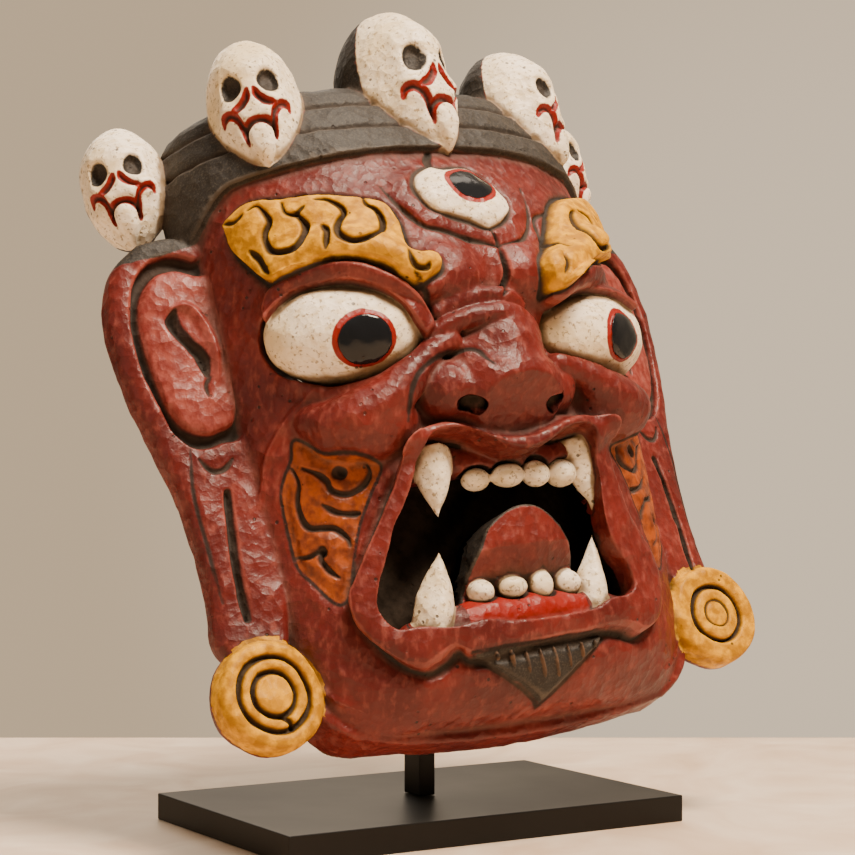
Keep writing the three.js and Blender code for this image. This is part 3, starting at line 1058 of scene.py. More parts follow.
@dataclass
class Lobe:
    """A round ear ornament: ring grooves about a boss."""

    side: Side
    radius: float = 31.0
    front: float = -33.0
    thick: float = 17.0

    def __post_init__(self) -> None:
        """Draws its face."""
        self.centre = (157.0 * self.side.value, -146.0 + 6.5 * self.side.value)
        cu, cv = self.centre
        wide = self.radius + 8
        chart = Chart((cu - wide, cv - wide), (cu + wide, cv + wide), 0.5)
        draw = Ornament(chart)
        u, v = chart.u[:, None] - cu, chart.v[None, :] - cv
        turn = np.arctan2(v, u)
        far = np.hypot(u, v) * (1 + 0.012 * np.sin(3 * turn + 1) + 0.01 * np.sin(5 * turn))
        outline = far - self.radius
        rings = (21.0, 12.6) if self.side is Side.RIGHT else (17.5,)
        draw.height += 3.0 * (1 - (1 - np.clip(-outline / 5, 0, 1)) ** 2)
        for ring in rings:
            line = np.abs(far - ring) - 1.5
            draw.height -= 4.2 * ease(-line, -1.2, 1.3)
            draw.gouge = np.minimum(draw.gouge, line)
        if self.side is Side.RIGHT:
            draw.cut((Stroke(((cu + 1, cv - 13), (cu + 5, cv - 16), (cu + 7, cv - 20.5)), 2.6, 3.6),))
        else:
            line = np.abs(far - 8.5) - 0.8
            draw.height -= 2.0 * ease(-line, -1.0, 1.2)
            draw.gouge = np.minimum(draw.gouge, line)
        draw.coat(Paint.YELLOW, outline, 5.0)
        self.draw = draw
        self.board = Board(chart, outline.astype(np.float32), (self.front - draw.height).astype(np.float32),
                           self.front + self.thick, rounding=2.5)


# ------------------------------------------------------------------ skulls of the crown


@dataclass(frozen=True)
class Skull:
    """One skull of the crown: where it stands, its half sizes, how far it turns outward, how far its
    chin stands forward, and the angle round to which it is painted white."""

    name: str
    at: Point3
    size: Point3
    turn: float
    jaw: float
    white: float


def skull_egg(tree: bpy.types.NodeTree, given: dict) -> bpy.types.NodeSocket:
    """Nodes for a skull's blank: an egg that narrows towards its chin, then turned and placed.

    Args:
        tree: The tree.
        given: Its named inputs.

    Returns:
        The geometry's socket.
    """
    ball = add_node(tree, "GeometryNodeMeshIcoSphere", {"Radius": 1.0, "Subdivisions": 5})
    place = add_node(tree, "ShaderNodeSeparateXYZ", {0: add_node(tree,
                                                                 "GeometryNodeInputPosition").outputs[0]})
    low = add_node(tree, "ShaderNodeMath", {0: place.outputs[2], 1: 0.0}, operation="MINIMUM")
    square = add_node(tree, "ShaderNodeMath", {0: low.outputs[0], 1: 2.0}, operation="POWER")
    less = add_node(tree, "ShaderNodeMath", {0: square.outputs[0], 1: given["Narrowing"]},
                    operation="MULTIPLY")
    keep = add_node(tree, "ShaderNodeMath", {0: 1.0, 1: less.outputs[0]}, operation="SUBTRACT")
    parts = []
    for axis, size in enumerate(("Half Width", "Half Depth", "Half Height")):
        sized = add_node(tree, "ShaderNodeMath", {0: place.outputs[axis], 1: given[size]},
                         operation="MULTIPLY")
        if axis < 2:
            sized = add_node(tree, "ShaderNodeMath", {0: sized.outputs[0], 1: keep.outputs[0]},
                             operation="MULTIPLY")
        if axis == 1:
            chin = add_node(tree, "ShaderNodeMath", {0: square.outputs[0], 1: given["Jaw Forward"]},
                            operation="MULTIPLY")
            sized = add_node(tree, "ShaderNodeMath", {0: sized.outputs[0], 1: chin.outputs[0]},
                             operation="SUBTRACT")
        parts.append(sized.outputs[0])
    there = add_node(tree, "ShaderNodeCombineXYZ", dict(enumerate(parts)))
    egg = add_node(tree, "GeometryNodeSetPosition", {"Geometry": ball.outputs[0],
                                                     "Position": there.outputs[0]})
    turn = add_node(tree, "ShaderNodeCombineXYZ", {2: given["Turn"]})
    at = add_node(tree, "ShaderNodeCombineXYZ", {0: given["Across"], 1: given["Back"], 2: given["Up"]})
    moved = add_node(tree, "GeometryNodeTransform", {"Geometry": egg.outputs[0], "Rotation": turn.outputs[0],
                                                     "Translation": at.outputs[0]})
    return moved.outputs[0]


def tooth_row(tree: bpy.types.NodeTree, given: dict) -> bpy.types.NodeSocket:
    """Nodes for a row of small teeth along an arc of the jaw.

    Args:
        tree: The tree.
        given: Its named inputs.

    Returns:
        The geometry's socket.
    """
    left = add_node(tree, "ShaderNodeMath", {0: given["Across"], 1: given["Half Row"]}, operation="SUBTRACT")
    right = add_node(tree, "ShaderNodeMath", {0: given["Across"], 1: given["Half Row"]}, operation="ADD")
    back = add_node(tree, "ShaderNodeMath", {0: given["Front"], 1: given["Bow"]}, operation="ADD")
    ends = [add_node(tree, "ShaderNodeCombineXYZ", {0: x, 1: y, 2: given["Up"]}).outputs[0]
            for x, y in ((left.outputs[0], back.outputs[0]), (given["Across"], given["Front"]),
                         (right.outputs[0], back.outputs[0]))]
    curve = add_node(tree, "GeometryNodeCurveArc", {"Start": ends[0], "Middle": ends[1], "End": ends[2],
                                                    "Resolution": 32}, mode="POINTS")
    points = add_node(tree, "GeometryNodeResampleCurve", {"Curve": curve.outputs[0],
                                                          "Count": given["Count"]})
    tooth = add_node(tree, "GeometryNodeMeshIcoSphere", {"Radius": 1.0, "Subdivisions": 4})
    size = add_node(tree, "ShaderNodeCombineXYZ", {0: given["Tooth Width"], 1: 8.0,
                                                   2: given["Tooth Height"]})
    spread = add_node(tree, "FunctionNodeRandomValue", {"Min": (0.9, 0.9, 0.88), "Max": (1.1, 1.0, 1.12),
                                                        "Seed": 5}, data_type="FLOAT_VECTOR")
    scale = add_node(tree, "ShaderNodeVectorMath", {0: size.outputs[0], 1: spread.outputs[0]},
                     operation="MULTIPLY")
    row = add_node(tree, "GeometryNodeInstanceOnPoints", {"Points": points.outputs[0],
                                                          "Instance": tooth.outputs[0],
                                                          "Scale": scale.outputs[0]})
    return row.outputs[0]


def hair_rows(tree: bpy.types.NodeTree, given: dict) -> bpy.types.NodeSocket:
    """Nodes for the slanting locks of the beard: thin rods hung in a row, longest in the middle.

    Args:
        tree: The tree.
        given: Its named inputs.

    Returns:
        The geometry's socket.
    """
    right = add_node(tree, "ShaderNodeMath", {0: given["Half Row"], 1: -1.0}, operation="MULTIPLY")
    ends = [add_node(tree, "ShaderNodeCombineXYZ", {0: x, 1: given["Front"], 2: given["Up"]}).outputs[0]
            for x in (right.outputs[0], given["Half Row"])]
    line = add_node(tree, "GeometryNodeCurvePrimitiveLine", {"Start": ends[0], "End": ends[1]})
    points = add_node(tree, "GeometryNodeResampleCurve", {"Curve": line.outputs[0], "Count": given["Count"]})
    ball = add_node(tree, "GeometryNodeMeshIcoSphere", {"Radius": 1.0, "Subdivisions": 3})
    lock = add_node(tree, "GeometryNodeTransform", {"Geometry": ball.outputs[0], "Translation": (0, 0, -1)})
    place = add_node(tree, "ShaderNodeSeparateXYZ", {0: add_node(tree,
                                                                 "GeometryNodeInputPosition").outputs[0]})
    off = add_node(tree, "ShaderNodeMath", {0: place.outputs[0]}, operation="ABSOLUTE")
    share = add_node(tree, "ShaderNodeMath", {0: off.outputs[0], 1: given["Fan"]}, operation="DIVIDE")
    left = add_node(tree, "ShaderNodeMath", {0: 1.0, 1: share.outputs[0]}, operation="SUBTRACT")
    long = add_node(tree, "ShaderNodeMath", {0: left.outputs[0], 1: given["Length"]}, operation="MULTIPLY")
    size = add_node(tree, "ShaderNodeCombineXYZ", {0: 1.15, 1: 2.0, 2: long.outputs[0]})
    slant = add_node(tree, "ShaderNodeCombineXYZ", {0: given["Lean"], 1: given["Slant"]})
    rows = add_node(tree, "GeometryNodeInstanceOnPoints", {
        "Points": points.outputs[0], "Instance": lock.outputs[0], "Rotation": slant.outputs[0],
        "Scale": size.outputs[0]})
    return rows.outputs[0]


@dataclass
class Crown:
    """The five skulls that stand on the crown band."""

    skulls: Sequence[Skull] = (
        Skull("far right", (-156, 4, 170), (27, 29, 40), -34, 6, 1.7),
        Skull("right", (-92, -58, 190.5), (28.5, 33, 46), -32, 18, 1.7),
        Skull("middle", (-1, -70, 197), (31, 41, 54), 12, 24, 1.45),
        Skull("left", (93, -55, 194), (28.5, 33, 44.5), 42, 17, 1.75),
        Skull("far left", (156, 6, 185.5), (27, 29, 41.5), 47, 6, 1.8),
    )
    back_cut: float = 12.0

    def __post_init__(self) -> None:
        """Draws the face that all five share, on a skull 57 mm wide and 82 mm high."""
        chart = Chart((-64, -46), (64, 46), 0.45)
        draw = Ornament(chart)
        u, v = chart.u[:, None], chart.v[None, :]
        for side in (-1, 1):
            rough = 1 + 0.05 * np.sin(3 * np.arctan2(v - 5, u - 12 * side) + side)
            socket = np.hypot((u - 12 * side) / 6.4, (v - 5) / 6.8) * rough
            draw.height -= 5.0 * ease(-socket, -1.25, -0.6)
            draw.coat(Paint.BLACK, (socket - 1) * 5.5, 0.2)
            cheek = np.hypot((u - 18 * side) / 8, (v + 8) / 5)
            draw.height += 1.8 * ease(-cheek, -1.4, -0.2)
            jowl = np.hypot((u - 9 * side) / 5, (v + 13) / 4)
            draw.height += 1.4 * ease(-jowl, -1.4, -0.3)
        brow = np.hypot(u / 20, (v - 17) / 8)
        draw.height += 1.6 * ease(-brow, -1.5, -0.3)
        jaw = np.hypot(u / 11, (v + 30) / 12)
        draw.height += 3.4 * ease(-jaw, -1.3, -0.5)
        temples = np.hypot((np.abs(u) - 28) / 8, (v - 2) / 14)
        draw.height -= 1.8 * ease(-temples, -1.3, -0.3)
        lines = []
        for side in (-1, 1):
            lines += [
                Stroke([(side * a, b) for a, b in ((2, 1), (3.8, -3.5), (8, -7), (13.5, -9))], 3.8, 3.0),
                Stroke([(side * a, b) for a, b in ((24, -13), (21.5, -10), (17, -9.5), (13, -12.5),
                                                   (11.5, -17), (12, -22), (13.5, -27.5))], 4.0, 3.2),
            ]
        lines += [Stroke(((-12, -27), (-10.5, -21), (-5.5, -17.5), (0, -16.5), (5.5, -17.5), (10.5, -21),
                          (12.5, -27)), 4.0, 3.4)]
        draw.cut(lines, Paint.VERMILION)
        self.draw = draw
        self.form = NodeForm("skull_blank", {
            "Half Width": 28.5, "Half Depth": 33.0, "Half Height": 41.0, "Narrowing": 0.26, "Turn": 0.0,
            "Jaw Forward": 16.0, "Across": 0.0, "Back": 0.0, "Up": 0.0}, skull_egg)
        self.patches: list[tuple[Skull, Patch]] = []

    def face_place(self, skull: Skull, x: Array, y: Array, z: Array) -> tuple[Array, Array, Array]:
        """Places as the shared drawing's across and up, and the turn away from the face's middle."""
        c, s = math.cos(math.radians(skull.turn)), math.sin(math.radians(skull.turn))
        dx, dy = x - skull.at[0], y - skull.at[1]
        u, v = dx * c + dy * s, dy * c - dx * s
        low = np.minimum((z - skull.at[2]) / skull.size[2], 0)
        turn = np.arctan2(u / skull.size[0], -(v + skull.jaw * low * low) / skull.size[1])
        return turn * 28.0, (z - skull.at[2]) * (41 / skull.size[2]) + 0 * turn, turn

    def carve(self, block: Block) -> None:
        """Adds the skulls to the block, each cut flat behind."""
        for skull in self.skulls:
            points, corners = self.form.make(
                Half_Width=float(skull.size[0]), Half_Depth=float(skull.size[1]),
                Half_Height=float(skull.size[2]), Narrowing=0.26, Jaw_Forward=float(skull.jaw),
                Turn=math.radians(skull.turn), Across=float(skull.at[0]), Back=float(skull.at[1]),
                Up=float(skull.at[2]))
            patch = block.patch(points, corners)
            cut = block.window(*patch.reach())
            cut = tuple(slice(c.start + 1, c.start + 1 + n) for c, n in zip(cut, patch.values.shape))
            x, y, z = (patch.low[i] + block.cell * np.arange(n, dtype=np.float32)
                       for i, n in enumerate(patch.values.shape))
            x, y, z = x[:, None, None], y[None, :, None], z[None, None, :]
            u, v, turn = self.face_place(skull, x, y, z)
            patch.values -= (self.draw.chart.read(self.draw.height, u,
                                                  v) * (np.abs(turn) < 1.9)).astype(np.float32)
            patch.values = np.maximum(patch.values, y - self.back_cut)
            self.patches.append((skull, patch))
            block.unite(patch, 1.0)


# ------------------------------------------------------------------ the mask


@dataclass
class Coat:
    """Where a paint lies: a distance, and how far it spreads past the form."""

    paint: Paint
    near: Callable[[Array, Array, Array], Array]


@dataclass
class ChamMask:
    """The whole carving, from the plain block to its painted mesh."""

    block: Block = field(default_factory=Block)
    coats: list[Coat] = field(default_factory=list)
    teeth: list = field(default_factory=list)

    def paint(self, paint: Paint, form, spread: float = 0.7, within=None) -> None:
        """Coats a form.

        Args:
            paint: The coat.
            form: What it covers.
            spread: Distance that it spreads past the form.
            within: A second form that the coat stays on.
        """
        def near(x: Array, y: Array, z: Array) -> Array:
            value = form.distance(x, y, z) - spread
            return value if within is None else np.maximum(value, within.distance(x, y, z) - 0.7)
        self.coats.append(Coat(paint, near))

    def face(self) -> None:
        """Cheeks, brow ridges, folds and nose, melted into the head."""
        block = self.block
        block.unite(HEAD)
        for side in Side:
            k = side.value
            ridge = ((132, 58, -5), (120, 72, -3), (100, 76, -2), (80, 71, 0), (60, 60, 2), (44, 52, 3))
            ridge = ridge if side is Side.RIGHT else ridge[3:]
            block.unite(Roll(on_skin(ridge, side), (8, 10, 11, 11, 10, 9)[-len(ridge):]), 8)
            block.unite(Ball((k * 25, -103, 60), (24, 21, 21)), 6)
            cheek = ((33, 20, 5), (50, 12, 6), (66, -2, 7), (82, -12, 7), (100, -15, 5), (117, -9, -2))
            if side is Side.LEFT:
                cheek = ((38, 5, 4), (54, 0, 6), (68, -8, 7), (83, -14, 7), (100, -16, 5), (117, -10, -2))
            block.unite(Roll(on_skin(cheek, side), (6, 8, 12, 15, 15, 10)), 4)
            block.unite(Ball(HEAD.at(k * 88, -20, -4), (31, 22, 19), k * 28, -k * 6), 4)
            block.unite(Roll(on_skin(((52, 24, 3), (66, 8, 3), (88, 3, 2), (112, 6, 0), (124, 16, -1)),
                                     side),
                             (4, 4.5, 4.5, 4, 3)), 4)
        block.unite(Roll(on_skin(((-44, 25, 3), (-27, 29, 7), (-4, 31.5, 10), (13, 28, 8), (24, 22, 4))),
                         (5, 6, 6.5, 6, 4)), 2)
        block.unite(Roll(on_skin(((-40, 37, 1), (-20, 42, 4), (2, 43, 5), (16, 38, 3))), (4, 5, 5, 4)), 3)
        block.unite(Roll(on_skin(((-52, -33, 1), (-34, -32, 3), (0, -40, 3), (32, -31, 3), (54, -32, 1))),
                         (6, 7, 7, 7, 6)), 6)
        nose = Cluster((
            Ball((0, -95, -8), (38, 31, 28)),
            Ball((3, -98, 17), (27, 26, 28)),
            Ball((-14, -96, 12), (22, 20, 20)),
            Ball((-38, -94, -5), (19, 18, 18), -10),
            Ball((36, -89, -8), (16, 17, 15), 10),
        ), 5.0, (0.0, 0.64, 0.768), -87.0)
        block.unite(nose, 2)

    def eyes(self) -> None:
        """Bulging eyeballs under sharp lids, with glossy pupils in red rings."""
        balls = (
            (Ball((-84.5, -80, 37), (47, 28, 30), -22, -7), (-88.5, -105, 22.6), (15.6, 15.2)),
            (Ball((80, -80, 29), (51, 29, 29), 22, 4), (91, -105, 19.5), (14.2, 14.2)),
        )
        for ball, pupil, wide in balls:
            self.block.cut(Ball(ball.at, tuple(s + 2.0 for s in ball.size), ball.turn, ball.tip), 2)
            self.block.unite(ball)
            self.paint(Paint.WHITE, ball, 0.9)
            iris = Ball(pupil, (wide[0], 12, wide[1]), ball.turn)
            self.block.unite(Both(iris, Swollen(ball, 1.2)), 1)
            ring = Ball(pupil, (wide[0] + 3.3, 14, wide[1] + 3.3), ball.turn)
            self.paint(Paint.PUPIL, iris, 0, Swollen(ball, 4))
            self.paint(Paint.VERMILION, ring, 0, Swollen(ball, 4))
        at = HEAD.at(3, 114, 6)
        self.paint(Paint.PUPIL, Ball(at, (14.5, 12, 12.5), 0, 12), 0)
        self.paint(Paint.VERMILION, Ball(at, (17.8, 14, 15.8), 0, 12), 0)

    def mouth(self) -> None:
        """The open mouth, a blind cavity, with gums, teeth and tongue set in it."""
        block = self.block
        chart = Chart((-130, -175), (130, -20))
        outline = chart.fill(HEAD.seen(self.skin.opening))
        hole = Board(chart, outline, chart.blank(-150), -38, rounding=0.5)
        block.cut(hole, 1.5)
        self.hole = hole
        # Painted shade: the mouth's walls round the opening are painted near-black.
        self.coats.append(Coat(Paint.CAVITY_SHADE, lambda x, y, z: np.maximum(np.abs(hole.distance(x, y, z)) - 4,
                                                                      (HEAD.shell(x, y, z) + 7) * 0.5)))
        upper = Roll(on_skin(((-60, -42, -15), (-30, -42, -14), (0, -47, -13), (30, -43, -14),
                              (60, -42, -15))),
                     (10, 10, 9, 10, 10))
        lower = Roll(on_skin(((-80, -136, -11), (-36, -132, -12), (0, -132, -12), (36, -132, -12),
                              (76, -134, -12))), (9, 12, 12.5, 12, 9))
        for gum in (upper, lower):
            block.unite(gum, 2)
        self.coats.append(Coat(Paint.VERMILION, lambda x, y, z: np.maximum(
            lower.distance(x, y, z) - 2.5, np.maximum(np.abs(x + 3) - 41, z + 114))))
        rows = NodeForm("tooth_row", {"Across": 0.0, "Half Row": 29.0, "Front": -80.0, "Bow": 3.0,
                                      "Up": -59.0, "Count": 4, "Tooth Width": 9.0, "Tooth Height": 8.0},
                                      tooth_row)
        for sizes in (dict(Across=9.0, Half_Row=30.0, Front=-79.5, Bow=4.0, Up=-54.0, Tooth_Width=9.8,
                           Tooth_Height=7.6),
                      dict(Across=1.5, Half_Row=30.0, Front=-65.5, Bow=2.4, Up=-116.5, Tooth_Width=8.4,
                           Tooth_Height=7.6)):
            patch = block.patch(*rows.make(**sizes))
            block.cut(Swollen(patch, 2.0), 0.8)
            block.unite(patch)
            self.teeth.append(patch)
        for root, tip, wide in (((-49, -34, -9), (-52, -75, -4), 12.0), ((55, -34, -9), (59, -78, -4), 10.5),
                                ((-67, -135, -9), (-54, -92, -6), 12.6),
                                ((47, -135, -9), (57, -89, -6), 10.5)):
            fang = Fang(HEAD.at(*root), HEAD.at(*tip), wide)
            block.unite(fang)
            self.teeth.append(fang)
        for tooth in self.teeth:
            self.paint(Paint.WHITE, tooth, 0.6)
        locks = NodeForm("beard_locks", {"Half Row": 34.0, "Front": -70.6, "Up": -153.5, "Count": 8,
                                         "Fan": 46.0, "Length": 11.5, "Lean": 0.42, "Slant": -0.25},
                                         hair_rows)
        beard = block.patch(*locks.make())
        block.unite(beard)
        self.paint(Paint.WOOD, beard, 0.1)
        arch = chart.fill(((-38, -144), (-37, -112), (-32, -98), (-24, -84), (-12, -76), (0, -73.5),
                           (12, -76), (24, -86), (32, -97), (37, -108), (39, -144)))
        u, v = chart.u[:, None], chart.v[None, :]
        front = -57 - 19 * np.clip((v + 116) / 20, 0, 1) - 4 * np.clip((v + 96) / 20, 0, 1.2)
        front = front - 6 * (1 - np.abs(u - 6) / 38)
        self.tongue = Board(chart, arch, front.astype(np.float32), -46, rounding=2.5)
        block.unite(self.tongue, 1)
        self.coats.append(Coat(Paint.BLACK, lambda x, y, z: np.maximum(
            np.abs(self.tongue.distance(x, y, z)) - 1.5, chart.read(arch,
                                                                    *np.broadcast_arrays(x, z)) * -1 - 1.6)))

    def trim(self) -> None:
        """The jaw's back rim, the nostrils, the mouth's cavity and the hollow for the wearer's head."""
        block = self.block
        ledge = ((136, -140), (133, -158), (124, -172), (108, -182), (84, -188), (50, -192), (0, -194))
        chart = Chart((-150, -204), (150, -120))
        rim = [*[(-x, z) for x, z in ledge], *reversed(ledge[:-1]), (120, -128), (-120, -128)]
        block.unite(Board(chart, chart.fill(rim), chart.blank(-28), 0, rounding=3), 2)
        for side in Side:
            k = side.value
            nostril = Ball((k * 30 - 2.5, -108, -23), (9.8, 5.6, 8.6), k * 10)
            block.cut(nostril, 0.5)
            # Painted shade: the nostril is painted near-black inside.
            self.paint(Paint.CAVITY_SHADE, nostril, 0.3)
        window = block.window((-140, -110, HOLLOW.low), (140, 16, HOLLOW.high), 6)
        x, y, z = block.places(window)
        inside = HOLLOW.shell(x, y, z)
        inside = np.maximum(inside, np.maximum(HOLLOW.low - z, z - HOLLOW.high)).astype(np.float32)
        # A wall of wood is left behind the mouth, so that it ends blind; its inside is painted near-black as
        # shade.
        wall = np.minimum(np.maximum(np.abs(y + 27.5) - 7.5, z - 20),
                          np.maximum(y + 20, np.abs(z - 12.5) - 7.5))
        inside = np.maximum(inside, -wall)
        block.values[window] = -soft_min(-block.values[window], inside, 4)

    def carve(self) -> None:
        """Carves everything into the block, from the large forms to the small."""
        self.face()
        self.skin = Skin()
        self.eyes()
        self.skin.press(self.block)
        LOG.info("head carved")
        self.trim_first()
        self.ears = Ears()
        self.block.unite(self.ears.board, 2)
        self.lobes = [Lobe(side) for side in Side]
        for lobe in self.lobes:
            self.block.unite(lobe.board, 1.5)
        self.trim()
        self.mouth()
        self.crown = Crown()
        self.crown.carve(self.block)
        LOG.info("block carved, %d cells", self.block.values.size)

    def trim_first(self) -> None:
        """Takes the crown's top off level."""
        z = self.block.axes[2][None, None, :]
        self.block.values = np.maximum(self.block.values, (z - HEAD.high).astype(np.float32))

    def waves(self, points: Array, layers: Sequence[tuple[float, float]], seed: int) -> Array:
        """Smooth random heights, as a hand-held gouge leaves them.

        Args:
            points: Where they are read.
            layers: Each layer's cell and height.
            seed: The seed.

        Returns:
            One height for each point.
        """
        chance = np.random.default_rng(seed)
        amount = np.zeros(len(points), np.float32)
        for cell, height in layers:
            shape = [int(430 / cell) + 3] * 3
            sheet = Patch(np.array([-215.0, -215.0, -215.0]), chance.normal(size=shape).astype(np.float32),
                          cell)
            amount += height * np.clip(sheet.distance(*points.T), -1.6, 1.6)
        return amount

    def mesh(self) -> bpy.types.Mesh:
        """The carving's mesh in millimetres, thinned where it is plain or hidden."""
        points, quads = self.block.surface()
        mesh = new_mesh("carved_mask", points, quads[:, ::-1])
        piece = shown("carving_blank", mesh)
        x, y, z = points.T
        within = (z > HOLLOW.low - 1.5) & (z < HOLLOW.high + 1.5) & (y > -56 - 60 * (z > 12))
        hidden = np.where(within & ((y > -34) | (z > 8)), ease(HOLLOW.shell(x, y, z), 1.5, 0.5), 0.0)
        hidden = np.maximum(hidden, ease(y, -1.2, -0.4) * (np.abs(x) < 150))
        normals = np.empty(points.size, np.float32)
        mesh.vertices.foreach_get("normal", normals)
        bumps = self.waves(points, ((9.0, 0.42), (5.0, 0.2)), 23) * hidden
        moved = points + normals.reshape(-1, 3) * bumps[:, None]
        mesh.vertices.foreach_set("co", moved.astype(np.float32).ravel())
        group = piece.vertex_groups.new(name="even")
        group.add(list(range(len(points))), THIN_WEIGHT, "REPLACE")
        thin = piece.modifiers.new("Thin", "DECIMATE")
        thin.ratio = min(1.0, TRIANGLES / (2 * len(quads)))
        thin.vertex_group = group.name
        thin.vertex_group_factor = LENGTH_COST
        made = evaluated(piece)
        triangles = sum(face.loop_total - 2 for face in made.polygons)
        LOG.info("surface of %d quads thinned to %d triangles", len(quads), triangles)
        bpy.data.objects.remove(piece)
        return made

    def dress(self, mesh: bpy.types.Mesh) -> None:
        """Writes the coats, recesses and worn edges as vertex attributes."""
        points = np.empty(len(mesh.vertices) * 3, np.float32)
        mesh.vertices.foreach_get("co", points)
        x, y, z = points.reshape(-1, 3).T
        values = {paint: np.full(len(x), 6.0, np.float32) for paint in Paint}
        for coat in self.coats:
            values[coat.paint] = np.minimum(values[coat.paint], coat.near(x, y, z))
        # Distances to the gouged lines and the gaps round the teeth, which the material darkens as painted
        # shade.
        groove = np.full(len(x), 6.0, np.float32)
        s = HEAD.unroll(x, y, z)
        skin = self.skin
        outer = np.where((HEAD.shell(x, y, z) > -9) & (y < -3), 0.0, 9.0)
        sheets = [(skin.ornament, s, z, outer)]
        ear = self.ears
        past = y - ear.front - ear.thick - ear.sweep * np.maximum(np.abs(x) - ear.inner, 0)
        on = np.abs(ear.board.distance(x, y, z)) < 2.5
        off = np.where(on & (past < -4.5), 0.0, 9.0)
        rear = on & (past > -2.5)
        sheets.append((ear.draw, np.abs(x), z, off))
        for lobe in self.lobes:
            on = np.abs(lobe.board.distance(x, y, z)) < 2.5
            off = np.where(on & (y < lobe.front + lobe.thick - 5), 0.0, 9.0)
            rear |= on & (y > lobe.front + lobe.thick - 2)
            sheets.append((lobe.draw, x, z, off))
            on = off < 1
            values[Paint.BLACK][on] = 6.0
        for draw, u, v, off in sheets:
            groove = np.minimum(groove, draw.chart.read(draw.gouge, u, v) + off)
            for paint, sheet in draw.coats.items():
                values[paint] = np.minimum(values[paint], draw.chart.read(sheet, u, v) + off)
        for skull, patch in self.crown.patches:
            low, high = patch.reach()
            near = np.all((points.reshape(-1, 3) > low) & (points.reshape(-1, 3) < high), axis=1)
            at = np.nonzero(near)[0]
            off = patch.distance(x[at], y[at], z[at]) - 0.7
            u, v, turn = self.crown.face_place(skull, x[at], y[at], z[at])
            draw = self.crown.draw
            past = (np.abs(turn) - skull.white) * 20
            dark = np.minimum(-past, draw.chart.read(draw.coats[Paint.BLACK], u, v))
            red = draw.chart.read(draw.coats[Paint.VERMILION], u, v)
            values[Paint.BLACK][at] = np.minimum(np.maximum(values[Paint.BLACK][at], -off),
                                                 np.maximum(dark, off))
            for paint, sheet in ((Paint.WHITE, past), (Paint.VERMILION, red)):
                values[paint][at] = np.minimum(values[paint][at], np.maximum(sheet, off))
            groove[at] = np.where(off < 0, draw.chart.read(draw.gouge, u, v) + 1.3, groove[at])
        gap = np.min([tooth.distance(x, y, z) for tooth in self.teeth], axis=0)
        toothy = gap < 0.8
        # Painted shade: a dark ring in the gap round each tooth.
        groove = np.minimum(groove, np.abs(gap - 1.9) - 0.7)
        groove[toothy] = 6.0
        for paint in (Paint.BLACK, Paint.VERMILION, Paint.CAVITY_SHADE):
            values[paint][toothy] = 6.0
        depth = np.maximum(HOLLOW.shell(x, y, z), np.maximum(HOLLOW.low - z, z - HOLLOW.high))
        mouth = (y < -33) & (z < 7)
        cavity = (depth < 4) & mouth
        hollow = (depth < 9) & ~mouth & (y > -125)
        # Painted shade: the deep mouth cavity is painted near-black.
        values[Paint.CAVITY_SHADE][cavity] = -3.0
        plain = hollow | (y > -1.8) & (np.abs(x) < 150) | (y > 10.6) | rear
        values[Paint.WOOD][plain] = -2.0
        groove[plain] = 6.0
        base = np.clip(self.block.values, -12, 12)
        for name, radius in (("edge", 2.4), ("recess", 7.2)):
            blurred = box_blur(base, max(1, round(radius / self.block.cell)))
            rise = Patch(np.array([line[0] for line in self.block.axes]), blurred, self.block.cell)
            self.write(mesh, name, rise.distance(x, y, z))
        for paint, sheet in values.items():
            self.write(mesh, paint.value, np.clip(sheet, -6, 6))
        self.write(mesh, "groove", np.clip(groove, -6, 6))

    def write(self, mesh: bpy.types.Mesh, name: str, values: Array) -> None:
        """Keeps one number for each vertex."""
        layer = mesh.attributes.new(name, "FLOAT", "POINT")
        layer.data.foreach_set("value", np.asarray(values, np.float32))

    def place(self, mesh: bpy.types.Mesh) -> None:
        """Roughens the mesh as a gouge leaves it, leans it on its post and keeps it in the block's box."""
        count = len(mesh.vertices)
        points = np.empty(count * 3, np.float32)
        mesh.vertices.foreach_get("co", points)
        points = points.reshape(-1, 3)
        normals = np.empty(count * 3, np.float32)
        mesh.vertices.foreach_get("normal", normals)
        normals = normals.reshape(-1, 3)
        amount = self.waves(points, ((17.0, 0.5), (8.0, 0.4), (3.6, 0.16)), 11)
        points = points + normals * amount[:, None]
        turn = (Matrix.Rotation(math.radians(-POSE_LEAN), 3, "X")
                @ Matrix.Rotation(math.radians(-POSE_ROLL), 3, "Y"))
        world = (points @ np.array(turn, np.float32).T + np.array([0, 0, POSE_HEIGHT], np.float32)) * MM
        low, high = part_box("mask")
        world = np.clip(world, np.array(low, np.float32) + 1e-5, np.array(high, np.float32) - 1e-5)
        mesh.vertices.foreach_set("co", world.astype(np.float32).ravel())
        mesh.update()

    def build(self) -> bpy.types.Object:
        """Carves, thins, dresses and places the mask.

        Returns:
            The finished piece.
        """
        self.carve()
        mesh = self.mesh()
        self.dress(mesh)
        self.place(mesh)
        mesh.polygons.foreach_set("use_smooth", np.ones(len(mesh.polygons), bool))
        mesh.set_sharp_from_angle(angle=math.radians(58))
        mesh.name = "carved_mask"
        piece = shown("carved_mask", mesh)
        mesh.materials.clear()
        mesh.materials.append(PaintedWood().material())
        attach(piece, "root")
        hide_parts("mask")
        return piece


# ------------------------------------------------------------------ finishes


